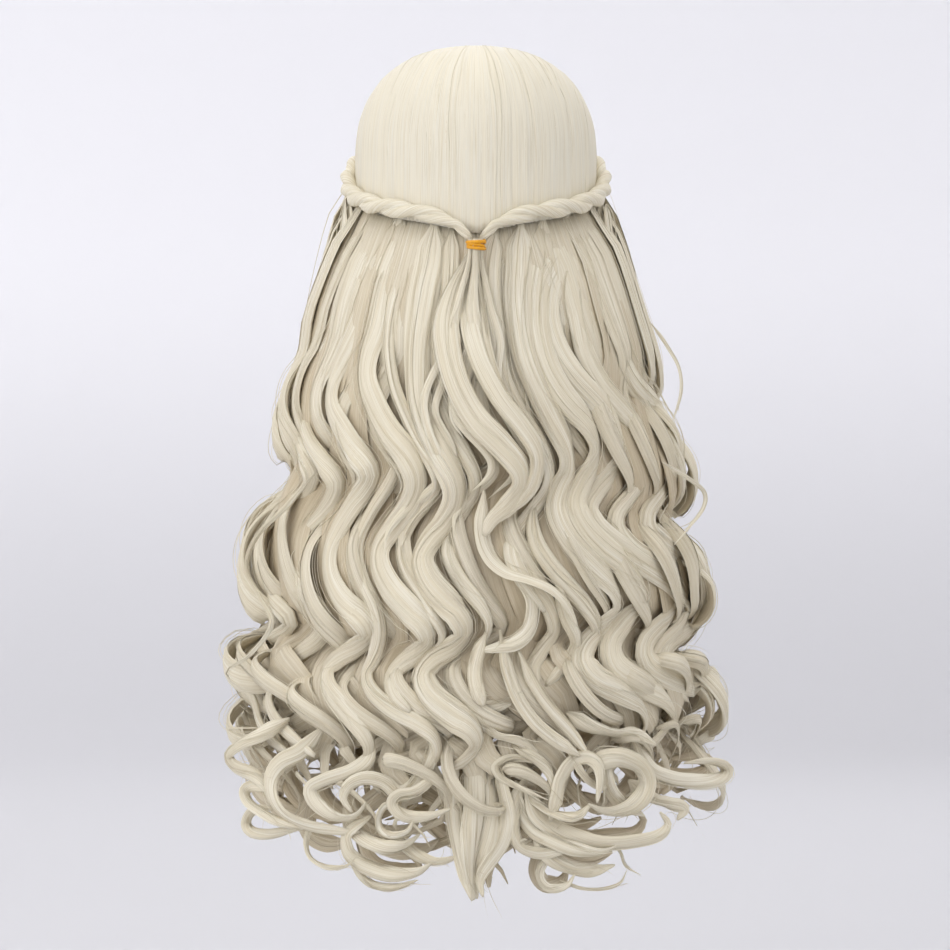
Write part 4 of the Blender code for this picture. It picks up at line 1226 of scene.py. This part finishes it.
def add_filling_curl(hair, curl, round_back, random, look, camera_distance):
    """Add a plainer curl behind a curled end, darkened with painted shade."""
    kind = FILLING_CURL
    behind = random.choice(filling_behind)
    shift = np.array([random.normal(0.0, filling_aside), random.uniform(*filling_up)])
    way = smooth_way(curl.way, kind.rows) + shift
    way[:, 0] = picture_centre_line + (way[:, 0] - picture_centre_line) * filling_inward
    share = np.linspace(0.0, 1.0, kind.rows)
    depth = -look.curl_depth * np.interp(share, np.linspace(0, 1, len(round_back)), round_back)
    depth = depth + behind + random.uniform(0, 0.012)
    path = picture_place(way[:, 0], way[:, 1], depth, camera_distance)[None]
    facing = np.array([[[random.normal(0.0, 0.4), -1.0, 0.0]]]) + 0.0 * path
    size = (0.2 + 0.8 * taper(share, 0.30, 0.7))[None]
    # Painted shade for the curl that lies behind
    deep = np.full_like(size, kind.deep * random.uniform(0.6, 1.1))
    width = max(curl.width, filling_least_width)
    add_bundle(hair, path, facing, width / 2.0 * size, kind.thickness * size, deep, random, look,
               kind)


class WIG_OT_falls(bpy.types.Operator):
    """Make the falls of long wavy hair, a piece for each"""

    bl_idname = "wig.falls"
    bl_label = "Long hair"

    def execute(self, context):
        look = context.scene.wig_hair
        stage = context.scene.wig_stage
        material = shared_hair_material(context, "hair_fibre_strands")
        total = len(OUTER_LOCKS)
        for number, fall in enumerate(OUTER_FALLS):
            random = np.random.default_rng(100 + number)
            hair = HairMesh()
            for index in range(fall.first, fall.last + 1):
                middle = (2 * index + 1) / total - 1.0
                # Two deep locks fill in behind each lock, darkened with painted shade
                for share in (-0.25, 0.25):
                    across = middle + 2.0 * share / total
                    add_lock(hair, outer_layer, across, total * 2, random, look, DEEP_LOCK,
                             random.uniform(0.90, 0.97), 0.15)
                edge = np.clip(middle + 1.0 / total, -0.985, 0.985)
                add_lock(hair, outer_layer, edge, total, random, look, SLIM_LOCK,
                         random.uniform(0.93, 1.02))
                if abs(middle) > 0.5:
                    add_lock(hair, outer_layer, middle, total, random, look, MAIN_LOCK,
                             random.uniform(0.97, 1.02))
            for lock in BACK_LOCKS:
                if lock.fall == fall.name:
                    add_back_lock(hair, lock, random, look, stage.camera_distance)
            piece = hair.build(fall.name + "_strands", material)
            settle(piece, "hair_fibre", fall.name)
        return {"FINISHED"}


class WIG_OT_under(bpy.types.Operator):
    """Make the under hair that is sewn to the nape"""

    bl_idname = "wig.under"
    bl_label = "Under hair"

    def execute(self, context):
        look = context.scene.wig_hair
        material = shared_hair_material(context, "under_fibre_strands")
        total = len(UNDER_LOCKS) * 3
        for number, fall in enumerate(UNDER_FALLS):
            random = np.random.default_rng(200 + number)
            hair = HairMesh()
            for index in range(fall.first * 3, (fall.last + 1) * 3):
                across = (2 * index + 1) / total - 1.0
                # Painted shade eases off towards the tips, which show below the outer hair
                add_lock(hair, under_layer, across, total, random, look, UNDER_LOCK,
                         random.uniform(0.89, 0.98), 0.0)
            piece = hair.build(fall.name + "_strands", material)
            settle(piece, "under_fibre", fall.name)
        return {"FINISHED"}


class WIG_OT_curls(bpy.types.Operator):
    """Make the curled ends and the free strands of the back, where the photo shows them"""

    bl_idname = "wig.curls"
    bl_label = "Curled ends"

    def execute(self, context):
        material = shared_hair_material(context, "hair_fibre_strands")
        random = np.random.default_rng(250)
        hair = HairMesh()
        for curl in CURLS:
            add_curl(hair, curl, random, context.scene.wig_hair,
                     context.scene.wig_stage.camera_distance)
        piece = hair.build("curled_ends", material)
        settle(piece, "hair_fibre")
        return {"FINISHED"}


def crown_course(end_angle, steps, offset):
    """Course of crown hair, from the parting over the top down to the seam."""
    ahead = np.abs(end_angle) / edge_angle_top
    start = 0.002 + 0.978 * np.clip((ahead - 0.30) / 0.70, 0.0, 1.0) ** 1.15
    aback = np.clip(1.0 - ahead, 0.0, 1.0)
    hurry = 2.2 + 11.0 * aback**2 + 70.0 * aback**12
    turn = 1.0 - np.clip(1.0 - steps, 0.0, 1.0) ** hurry
    side = np.where(end_angle < 0.0, -1.0, 1.0)
    angle = side * (math.pi + (np.abs(end_angle) - math.pi) * turn)
    down = start + (1.0 - start) * steps ** (1.0 + 0.35 * np.clip(ahead, 0.0, 1.0))
    return dome_point(angle, seam_level(angle), down, offset)


class WIG_OT_crown(bpy.types.Operator):
    """Make the sleek hair over the crown"""

    bl_idname = "wig.crown"
    bl_label = "Crown hair"

    def execute(self, context):
        look = context.scene.wig_hair
        material = shared_hair_material(context, "sleek_fibre_strands")
        random = np.random.default_rng(300)
        hair = HairMesh()
        surface = seat_gap + crown_thickness

        def lay(ends, size, thick, lift, profile, weight, rows, reach=1.03, drift_size=0.006):
            """Lay a row of ribbons on the dome."""
            count = len(ends)
            steps = np.linspace(0.0, 1.0, rows)[None] ** 1.25
            along = steps * reach
            drift = wander(random, count, steps, drift_size)
            drift = drift * np.sin(math.pi * np.clip(steps, 0, 1))
            drift = drift * np.clip(np.abs(ends[:, None]) / 0.1, 0.0, 1.0)
            offset = surface + lift[:, None]
            path = crown_course(ends[:, None] + drift, along, offset)
            above = crown_course(ends[:, None] + drift, along, offset + 0.004)
            width = size[:, None] * (0.30 + 0.70 * np.sin(math.pi / 2.0 * np.clip(along, 0, 1)))
            end = np.clip((reach - along) / 0.04, 0.15, 1.0)
            hair.add(path, unit(above - path), width, thick * end,
                     profile, 0.6 * random.random(count), np.zeros(count), weight)

        for count, size, thick, low, high, rows in CROWN_LAYERS:
            for side in (-1.0, 1.0):
                share = (np.arange(count) + random.uniform(0.2, 0.8, count)) / count
                ends = side * edge_angle_top * 1.02 * share
                lay(ends, size * random.uniform(0.75, 1.2, count), thick,
                    random.uniform(low, high, count), RIBBON_PROFILE, 5.0, rows)
        count = CROWN_STRANDS
        ends = random.uniform(-1.0, 1.0, count) * edge_angle_top
        size = np.full(count, look.strand_width / 2.0)
        lay(ends, size, look.strand_width / 2.0, random.uniform(-0.0001, 0.0003, count),
            STRAND_PROFILE, 1.5, 38, 1.02, drift_size=0.02)
        piece = hair.build("crown_hair_strands", material)
        settle(piece, "hair_fibre", "crown_hair")
        return {"FINISHED"}


def shell(name, material, offsets, edge_of, narrowing, columns, rows):
    """Open dome with a closed wall between two offsets outside the cap."""
    angles = np.linspace(-math.pi, math.pi, columns, endpoint=False)
    downs = np.arange(1, rows + 1) / rows
    points, faces = [], []
    for number, offset in enumerate(offsets):
        apex = np.array([(0.0, 0.0, widest_level + cap_crown_height + offset)])
        grid = dome_point(angles[None], edge_of(angles)[None], downs[:, None], offset, narrowing)
        points += [apex, grid.reshape(-1, 3)]
        base = number * (1 + rows * columns)
        order = 1 if number else -1
        for column in range(columns):
            following = (column + 1) % columns
            faces.append((base, base + 1 + column, base + 1 + following)[::order])
            for row in range(rows - 1):
                high = base + 1 + row * columns
                low = high + columns
                face = (high + column, low + column, low + following, high + following)
                faces.append(face[::order])
    inner = 1 + (rows - 1) * columns
    outer = inner + 1 + rows * columns
    for column in range(columns):
        following = (column + 1) % columns
        faces.append((outer + column, inner + column, inner + following, outer + following))
    mesh = bpy.data.meshes.new(name)
    mesh.from_pydata(np.concatenate(points).tolist(), [], faces)
    mesh.materials.append(material)
    mesh.shade_smooth()
    made = bpy.data.objects.new(name, mesh)
    bpy.context.scene.collection.objects.link(made)
    return made


def net_material(name, thread, hole_shade):
    """Stretch net: two sets of fine slanting threads with painted shade in the holes between them.
    """
    material, tree, shader = new_material(name)
    place = new_node(tree, "ShaderNodeTexCoord")
    most = new_node(tree, "ShaderNodeMath", operation="MAXIMUM")
    for number, slant in enumerate((35.0, -35.0)):
        mapping = new_node(tree, "ShaderNodeMapping", Rotation=(0.0, math.radians(slant), 0.0))
        wave = new_node(tree, "ShaderNodeTexWave", bands_direction="X", Scale=130.0, Distortion=0.6,
                        Detail=1.0)
        tree.links.new(place.outputs["Object"], mapping.inputs["Vector"])
        tree.links.new(mapping.outputs["Vector"], wave.inputs["Vector"])
        tree.links.new(wave.outputs["Fac"], most.inputs[number])
    height = most.outputs["Value"]
    tree.links.new(blended(tree, height, hole_shade, thread), shader.inputs["Base Color"])
    shader.inputs["Roughness"].default_value = 0.85
    add_relief(tree, shader, height, 0.6, 0.0005)
    return material


class WIG_OT_cap(bpy.types.Operator):
    """Make the net cap, the wefts sewn into it and the elastic band round its edge"""

    bl_idname = "wig.cap"
    bl_label = "Net cap"

    def execute(self, context):
        look = context.scene.wig_cap
        net = net_material("cap_net_fine", tuple(look.thread), tuple(look.hole_shade))
        cap = shell("wig_cap_net", net, (-cap_wall, -cap_wall * 0.4), cap_edge_level,
                    nape_narrowing, 120, 40)
        settle(cap, "cap_net", "wig_cap")
        edging = net_material("cap_band_cloth", tuple(look.thread), tuple(look.thread))
        band = HairMesh()
        angles = np.linspace(-math.pi, math.pi, 161)[None]
        down = np.full_like(angles, 1.0)
        rim = dome_point(angles, cap_edge_level(angles), down, -cap_wall * 0.7, nape_narrowing)
        outer = dome_point(angles, cap_edge_level(angles), down, 0.004, nape_narrowing)
        facing = unit((outer - rim) * np.array([1.0, 1.0, 0.0]))
        band.add(rim + np.array([0.0, 0.0, look.band_width * 0.45]), facing, look.band_width / 2.0,
                 band_half_thickness, body_profile(8), np.array([0.5]), np.zeros(1))
        settle(band.build("cap_edge_band", edging), "cap_net")
        wefts = HairMesh()
        levels = np.linspace(weft_top, -cap_nape_depth + weft_nape_gap, look.weft_rows)
        across = np.linspace(0.0, math.pi, 200)
        for level in levels:
            reached = across[cap_edge_level(across) < level - weft_edge_gap]
            angles = np.linspace(-reached.max(), reached.max(), 97)[None]
            flat = np.full_like(angles, level)
            path = dome_point(angles, flat, np.ones_like(angles), -cap_wall * 1.1, nape_narrowing)
            outer = dome_point(angles, flat, np.ones_like(angles), 0.004, nape_narrowing)
            wefts.add(path, unit(outer - path), weft_half_width, weft_half_thickness,
                      body_profile(6), np.array([0.5]), np.zeros(1))
        settle(wefts.build("cap_wefts", edging), "cap_net")
        return {"FINISHED"}


def twist_course(side, share):
    """Middle of a twist, its outward direction, its radius and how flat it lies."""
    surface = seat_gap + crown_thickness
    start = TWIST_PATH[-1].angle
    end_angle = math.asin(tie_bore * 0.56 / (cap_half_width + surface)) / math.pi
    place = start + (end_angle - start) * share
    depth = seam_depth * read_table(TWIST_PATH, "angle", "depth", place)
    radius = twist_radius * read_table(TWIST_PATH, "angle", "thickness", place)
    lift = twist_radius * read_table(TWIST_PATH, "angle", "lift", place)
    home = np.clip((TWIST_PATH[0].angle - place) / (TWIST_PATH[0].angle - end_angle), 0.0, 1.0)
    depth = depth + (-tie_high.z - depth) * home
    radius = radius + (tie_bore * 0.42 - radius) * home
    lift = lift + (tie_bore + tie_band + 0.0004 - lift) * home
    level = -depth
    angle = side * place * math.pi
    below = np.maximum(0.0, seam_level(angle) - level) / (hair_length - seam_depth)
    spread = fall_back_spread * read_table(FALL_OPENING, "down", "spread", below)
    share_here = dome_share(level, surface)
    half_width = (cap_half_width + surface) * share_here
    half_depth = (cap_half_depth + surface) * share_here + spread
    point = plan_point(half_width, half_depth, half_depth, angle, level)
    normal = unit(np.stack(
        [np.sin(angle) / half_width, -np.cos(angle) / half_depth, np.zeros_like(angle)], -1
    ))
    flat = twist_flatness + (1.0 - twist_flatness) * ease((0.06 - place) / 0.05)
    return point + normal * (lift * flat + 0.0008)[..., None], normal, radius, flat


class WIG_OT_twists(bpy.types.Operator):
    """Make the two rope twists, each of two strands wound round each other"""

    bl_idname = "wig.twists"
    bl_label = "Rope twists"

    def execute(self, context):
        material = shared_hair_material(context, "hair_fibre_strands")
        for side, node in ((-1.0, "twist_left"), (1.0, "twist_right")):
            random = np.random.default_rng(400 + int(side))
            hair = HairMesh()
            rows = 120
            share = np.linspace(0.0, 1.0, rows)
            middle, normal, radius, flat = twist_course(side, share)
            forward = unit(np.gradient(middle, axis=0))
            normal = unit(normal - forward * (normal * forward).sum(-1, keepdims=True))
            across = np.cross(forward, normal)
            steps = np.linalg.norm(np.diff(middle, axis=0), axis=-1)
            travelled = np.concatenate([[0.0], np.cumsum(steps)])
            turn = 2.0 * math.pi * travelled / twist_turn * side
            for strand in range(2):
                around = turn + math.pi * strand
                lean = (
                    normal * (flat * np.cos(around))[:, None] + across * np.sin(around)[:, None]
                )
                centre = middle + lean * (radius * strand_out)[:, None]
                paths, facings = [], []
                count = twist_ribbons
                for ribbon in range(count):
                    own = 2.0 * math.pi * ribbon / count + turn * 1.25 + random.normal(0.0, 0.08)
                    reach = radius * strand_radius * (1.0 + random.normal(0.0, 0.03))
                    outward = normal * np.cos(own)[:, None] + across * np.sin(own)[:, None]
                    paths.append(centre + outward * reach[:, None] * 0.86)
                    facings.append(outward)
                ends = np.clip(np.minimum(share, 1.0 - share) / 0.02, 0.3, 1.0)
                hair.add(np.array(paths), np.array(facings),
                         (radius * twist_ribbon_width * ends)[None],
                         (radius * twist_ribbon_thickness * ends)[None],
                         RIBBON_PROFILE, random.random(count), np.zeros(count))
                # The core of each strand, seen between its ribbons, carries painted shade
                core = (radius * strand_core)[None]
                hair.add(centre[None], normal[None], core, core, RIBBON_PROFILE,
                         np.array([0.8]), np.array([0.25]))
            piece = hair.build(node + "_strands", material)
            settle(piece, "hair_fibre", node)
        return {"FINISHED"}


def rubber_material(name, colour):
    """Mottled rubber with a fine relief."""
    material, tree, shader = new_material(name)
    place = new_node(tree, "ShaderNodeTexCoord")
    noise = new_node(tree, "ShaderNodeTexNoise", Scale=700.0, Detail=2.0)
    tree.links.new(place.outputs["Object"], noise.inputs["Vector"])
    darker = (colour[0] * 0.72, colour[1] * 0.55, colour[2] * 0.4)
    mottled = blended(tree, noise.outputs["Fac"], colour, darker)
    tree.links.new(mottled, shader.inputs["Base Color"])
    shader.inputs["Roughness"].default_value = 0.32
    add_relief(tree, shader, noise.outputs["Fac"], 0.3, 0.0003)
    return material


class WIG_OT_tie(bpy.types.Operator):
    """Make the elastic tie, wound round the gathered hair"""

    bl_idname = "wig.tie"
    bl_label = "Elastic tie"

    def execute(self, context):
        look = context.scene.wig_tie
        material = rubber_material("tie_rubber", tuple(look.colour))
        rows = 48 * look.turns
        share = np.linspace(0.0, 1.0, rows)
        angle = 2.0 * math.pi * look.turns * share
        high = tie_high.z - look.thickness / 2.0
        low = tie_low.z + look.thickness / 2.0
        reach = tie_bore + look.thickness / 2.0 - 0.0003 + 0.0004 * np.sin(angle * 0.37)
        level = high + (low - high) * ease(share) + 0.0005 * np.sin(angle * 1.3)
        facing = np.stack([np.cos(angle), np.sin(angle), np.zeros(rows)], -1)
        path = np.stack([np.full(rows, middle_of_tie.x), np.full(rows, middle_of_tie.y), level], -1)
        path = path + reach[:, None] * facing
        tie = HairMesh()
        tie.add(path[None], facing[None], look.thickness / 2.0, look.thickness / 2.0,
                body_profile(12), np.array([0.0]), np.zeros(1))
        settle(tie.build("elastic_tie", material), "tie_elastic", "hair_tie")
        return {"FINISHED"}


class WIG_OT_tail(bpy.types.Operator):
    """Make the tail of hair that hangs from the tie"""

    bl_idname = "wig.tail"
    bl_label = "Tail under the tie"

    def execute(self, context):
        look = context.scene.wig_hair
        material = shared_hair_material(context, "hair_fibre_strands")
        random = np.random.default_rng(500)
        hair = HairMesh()
        top = tie_high.z

        def tail_path(place, down, out, drift):
            """Point of the tail: place is -1 to 1 across it, out the distance from its middle."""
            level = top - tail_length * down
            width = tail_half_width * read_table(TAIL_OPENING, "down", "width", down)
            across = place * width / (edge_angle_top * (cap_half_depth + crown_thickness))
            fall_top = outer_top_level(across * edge_angle_top)
            length = lock_value(outer_layer, "length", across)
            below = (fall_top - level) / (fall_top - crown_top + hair_length * length)
            below = np.maximum(0.0, below)
            lift = read_table(TAIL_OPENING, "down", "lift", down)
            lying, facing = hair_course(
                outer_layer, across, below, out=tail_bed + tail_thickness / 2.0 + out, shift=drift
            )[:2]
            gathered = np.stack([place * width, middle_of_tie.y - out, level], -1)
            point = lying + (gathered - lying) * lift[..., None]
            point[..., 2] = level
            back = np.array([0.0, -1.0, 0.0])
            return point, unit(facing + (back - facing) * lift[..., None])

        rows = 70
        steps = np.linspace(0.0, 1.0, rows)[None]
        for lock in BACK_LOCKS:
            if lock.fall == "tie_tail":
                add_back_lock(hair, lock, random, look, context.scene.wig_stage.camera_distance)
        for count, profile, size, weight in (
            (16, RIBBON_PROFILE, 1.0, 5.0),
            (30, STRAND_PROFILE, 0.0, 1.5),
        ):
            place = random.uniform(-1.0, 1.0, (count, 1))
            ends = (0.20 + 0.20 * size) + 0.35 * random.random((count, 1))
            down = ends * steps
            out = random.uniform(-1.0, 1.0, (count, 1)) * np.sqrt(1.0 - 0.9 * place**2)
            gathered = read_table(TAIL_OPENING, "down", "lift", down)
            out = out * (0.0026 + 0.0020 * gathered) + (1.0 - size) * 0.002
            drift = wander(random, count, steps, 0.003) * (1.0 - gathered)
            path, facing = tail_path(place + 0.0 * down, down, out, drift)
            narrow = 0.45 + 0.55 * np.clip(down / 0.2, 0.0, 1.0)
            end = np.clip((1.0 - steps) / 0.1, 0.1, 1.0)
            width = (0.0024 * size * narrow + look.strand_width / 2.0) * end
            thick = (0.0008 * size + look.strand_width / 2.0) * end
            hair.add(path, facing, width, thick, profile, random.random(count), np.zeros(count),
                     weight)
        piece = hair.build("tie_tail_strands", material)
        settle(piece, "hair_fibre", "tie_tail")
        return {"FINISHED"}


def backdrop_material(name, colour, floor_drop):
    """Matt paper, darker on the floor, which gets more light than the wall, and with painted shade
    darkening it towards the right.
    """
    material, tree, shader = new_material(name)
    place = new_node(tree, "ShaderNodeTexCoord")
    parts = new_node(tree, "ShaderNodeSeparateXYZ")
    tree.links.new(place.outputs["Object"], parts.inputs["Vector"])
    rise = ranged(tree, parts.outputs["Z"], -floor_drop, 0.9 - floor_drop, kind="SMOOTHSTEP")
    paper = blended(tree, rise, tuple(part * 0.71 for part in colour), colour)
    # Painted shade: the paper darkens from left to right
    aside = ranged(tree, parts.outputs["X"], -1.2, 1.2, 1.03, 0.93)
    scaled = new_node(tree, "ShaderNodeVectorMath", operation="SCALE")
    tree.links.new(paper, scaled.inputs[0])
    tree.links.new(aside, scaled.inputs["Scale"])
    tree.links.new(scaled.outputs["Vector"], shader.inputs["Base Color"])
    shader.inputs["Roughness"].default_value = 0.9
    return material


class WIG_OT_stage(bpy.types.Operator):
    """Make the floor and backdrop, the lights and the camera"""

    bl_idname = "wig.stage"
    bl_label = "Stage"

    def execute(self, context):
        look = context.scene.wig_stage
        backdrop = backdrop_material("backdrop", tuple(look.backdrop), look.floor_drop)
        profile = [(0.0, 0.0), (1.2, 0.0), (2.4, 0.0), (bowl_floor, 0.0)]
        for step in range(1, bowl_steps + 1):
            angle = math.pi / 2.0 * step / bowl_steps
            rise = bowl_round * (1.0 - math.cos(angle))
            profile.append((bowl_floor + bowl_round * math.sin(angle), rise))
        profile.append((bowl_floor + bowl_round, bowl_height))
        columns = bowl_columns
        points = [(0.0, 0.0, -look.floor_drop)]
        faces = []
        for radius, height in profile[1:]:
            for column in range(columns):
                angle = 2.0 * math.pi * column / columns
                points.append((
                    radius * math.cos(angle), radius * math.sin(angle), height - look.floor_drop
                ))
        for column in range(columns):
            following = (column + 1) % columns
            faces.append((0, 1 + column, 1 + following))
            for row in range(len(profile) - 2):
                low = 1 + row * columns
                high = low + columns
                faces.append((low + column, high + column, high + following, low + following))
        mesh = bpy.data.meshes.new("studio_bowl")
        mesh.from_pydata(points, [], faces)
        mesh.materials.append(backdrop)
        mesh.shade_smooth()
        bowl = bpy.data.objects.new("studio_bowl", mesh)
        context.scene.collection.objects.link(bowl)

        world = bpy.data.worlds.new("studio_world")
        world.use_nodes = True
        sky = world.node_tree.nodes["Background"]
        sky.inputs["Color"].default_value = world_colour
        sky.inputs["Strength"].default_value = world_strength
        context.scene.world = world

        for light in LIGHTS:
            data = bpy.data.lights.new(light.name, "AREA")
            data.size = light.size
            data.energy = look.key_power * light.power
            made = bpy.data.objects.new(light.name, data)
            made.location = light.place
            made.rotation_euler = light_turn(np.array(light_target) - np.array(light.place))
            context.scene.collection.objects.link(made)

        data = bpy.data.cameras.new("camera")
        camera = bpy.data.objects.new("camera", data)
        data.sensor_width = 36.0
        view_width = 2.0 * picture_middle * millimetres_a_pixel / 1000.0
        data.lens = data.sensor_width * (look.camera_distance - scale_depth) / view_width
        camera.location = (camera_side, -look.camera_distance, camera_level)
        camera.rotation_euler = (math.pi / 2.0, 0.0, 0.0)
        context.scene.collection.objects.link(camera)
        context.scene.camera = camera
        context.scene.view_settings.view_transform = "Standard"
        return {"FINISHED"}


def light_turn(way):
    """Rotation that points a light's -Z along a direction."""
    flat = math.hypot(way[0], way[1])
    tilt = math.atan2(flat, -way[2])
    heading = math.atan2(way[1], way[0]) - math.pi / 2.0
    return (tilt, 0.0, heading)


class WIG_PT_panel(bpy.types.Panel):
    """Settings and pieces of the wig"""

    bl_idname = "WIG_PT_panel"
    bl_label = "Long wavy wig"
    bl_space_type = "VIEW_3D"
    bl_region_type = "UI"
    bl_category = "Wig"

    def draw(self, context):
        scene = context.scene
        for settings in (getattr(scene, key) for key in SETTINGS):
            box = self.layout.box()
            for key in settings.__annotations__:
                box.prop(settings, key)
        for operator in OPERATORS:
            self.layout.operator(operator.bl_idname)


OPERATORS = (
    WIG_OT_stage, WIG_OT_cap, WIG_OT_crown, WIG_OT_falls, WIG_OT_under, WIG_OT_curls, WIG_OT_twists,
    WIG_OT_tie, WIG_OT_tail,
)
SETTINGS = {
    "wig_hair": WigHairSettings, "wig_cap": WigCapSettings, "wig_tie": WigTieSettings,
    "wig_stage": WigStageSettings,
}
CLASSES = (*SETTINGS.values(), *OPERATORS, WIG_PT_panel)


def register():
    """Register the classes and hang the settings on the scene."""
    for kind in CLASSES:
        bpy.utils.register_class(kind)
    for key, kind in SETTINGS.items():
        setattr(bpy.types.Scene, key, bpy.props.PointerProperty(type=kind))


def unregister():
    """Undo register."""
    for key in reversed(SETTINGS):
        delattr(bpy.types.Scene, key)
    for kind in reversed(CLASSES):
        bpy.utils.unregister_class(kind)


def main():
    """Make every piece in order."""
    register()
    bpy.ops.wig.stage()
    bpy.ops.wig.cap()
    bpy.ops.wig.crown()
    bpy.ops.wig.falls()
    bpy.ops.wig.under()
    bpy.ops.wig.curls()
    bpy.ops.wig.twists()
    bpy.ops.wig.tie()
    bpy.ops.wig.tail()
    bpy.context.view_layer.update()


if __name__ == "__main__":
    main()
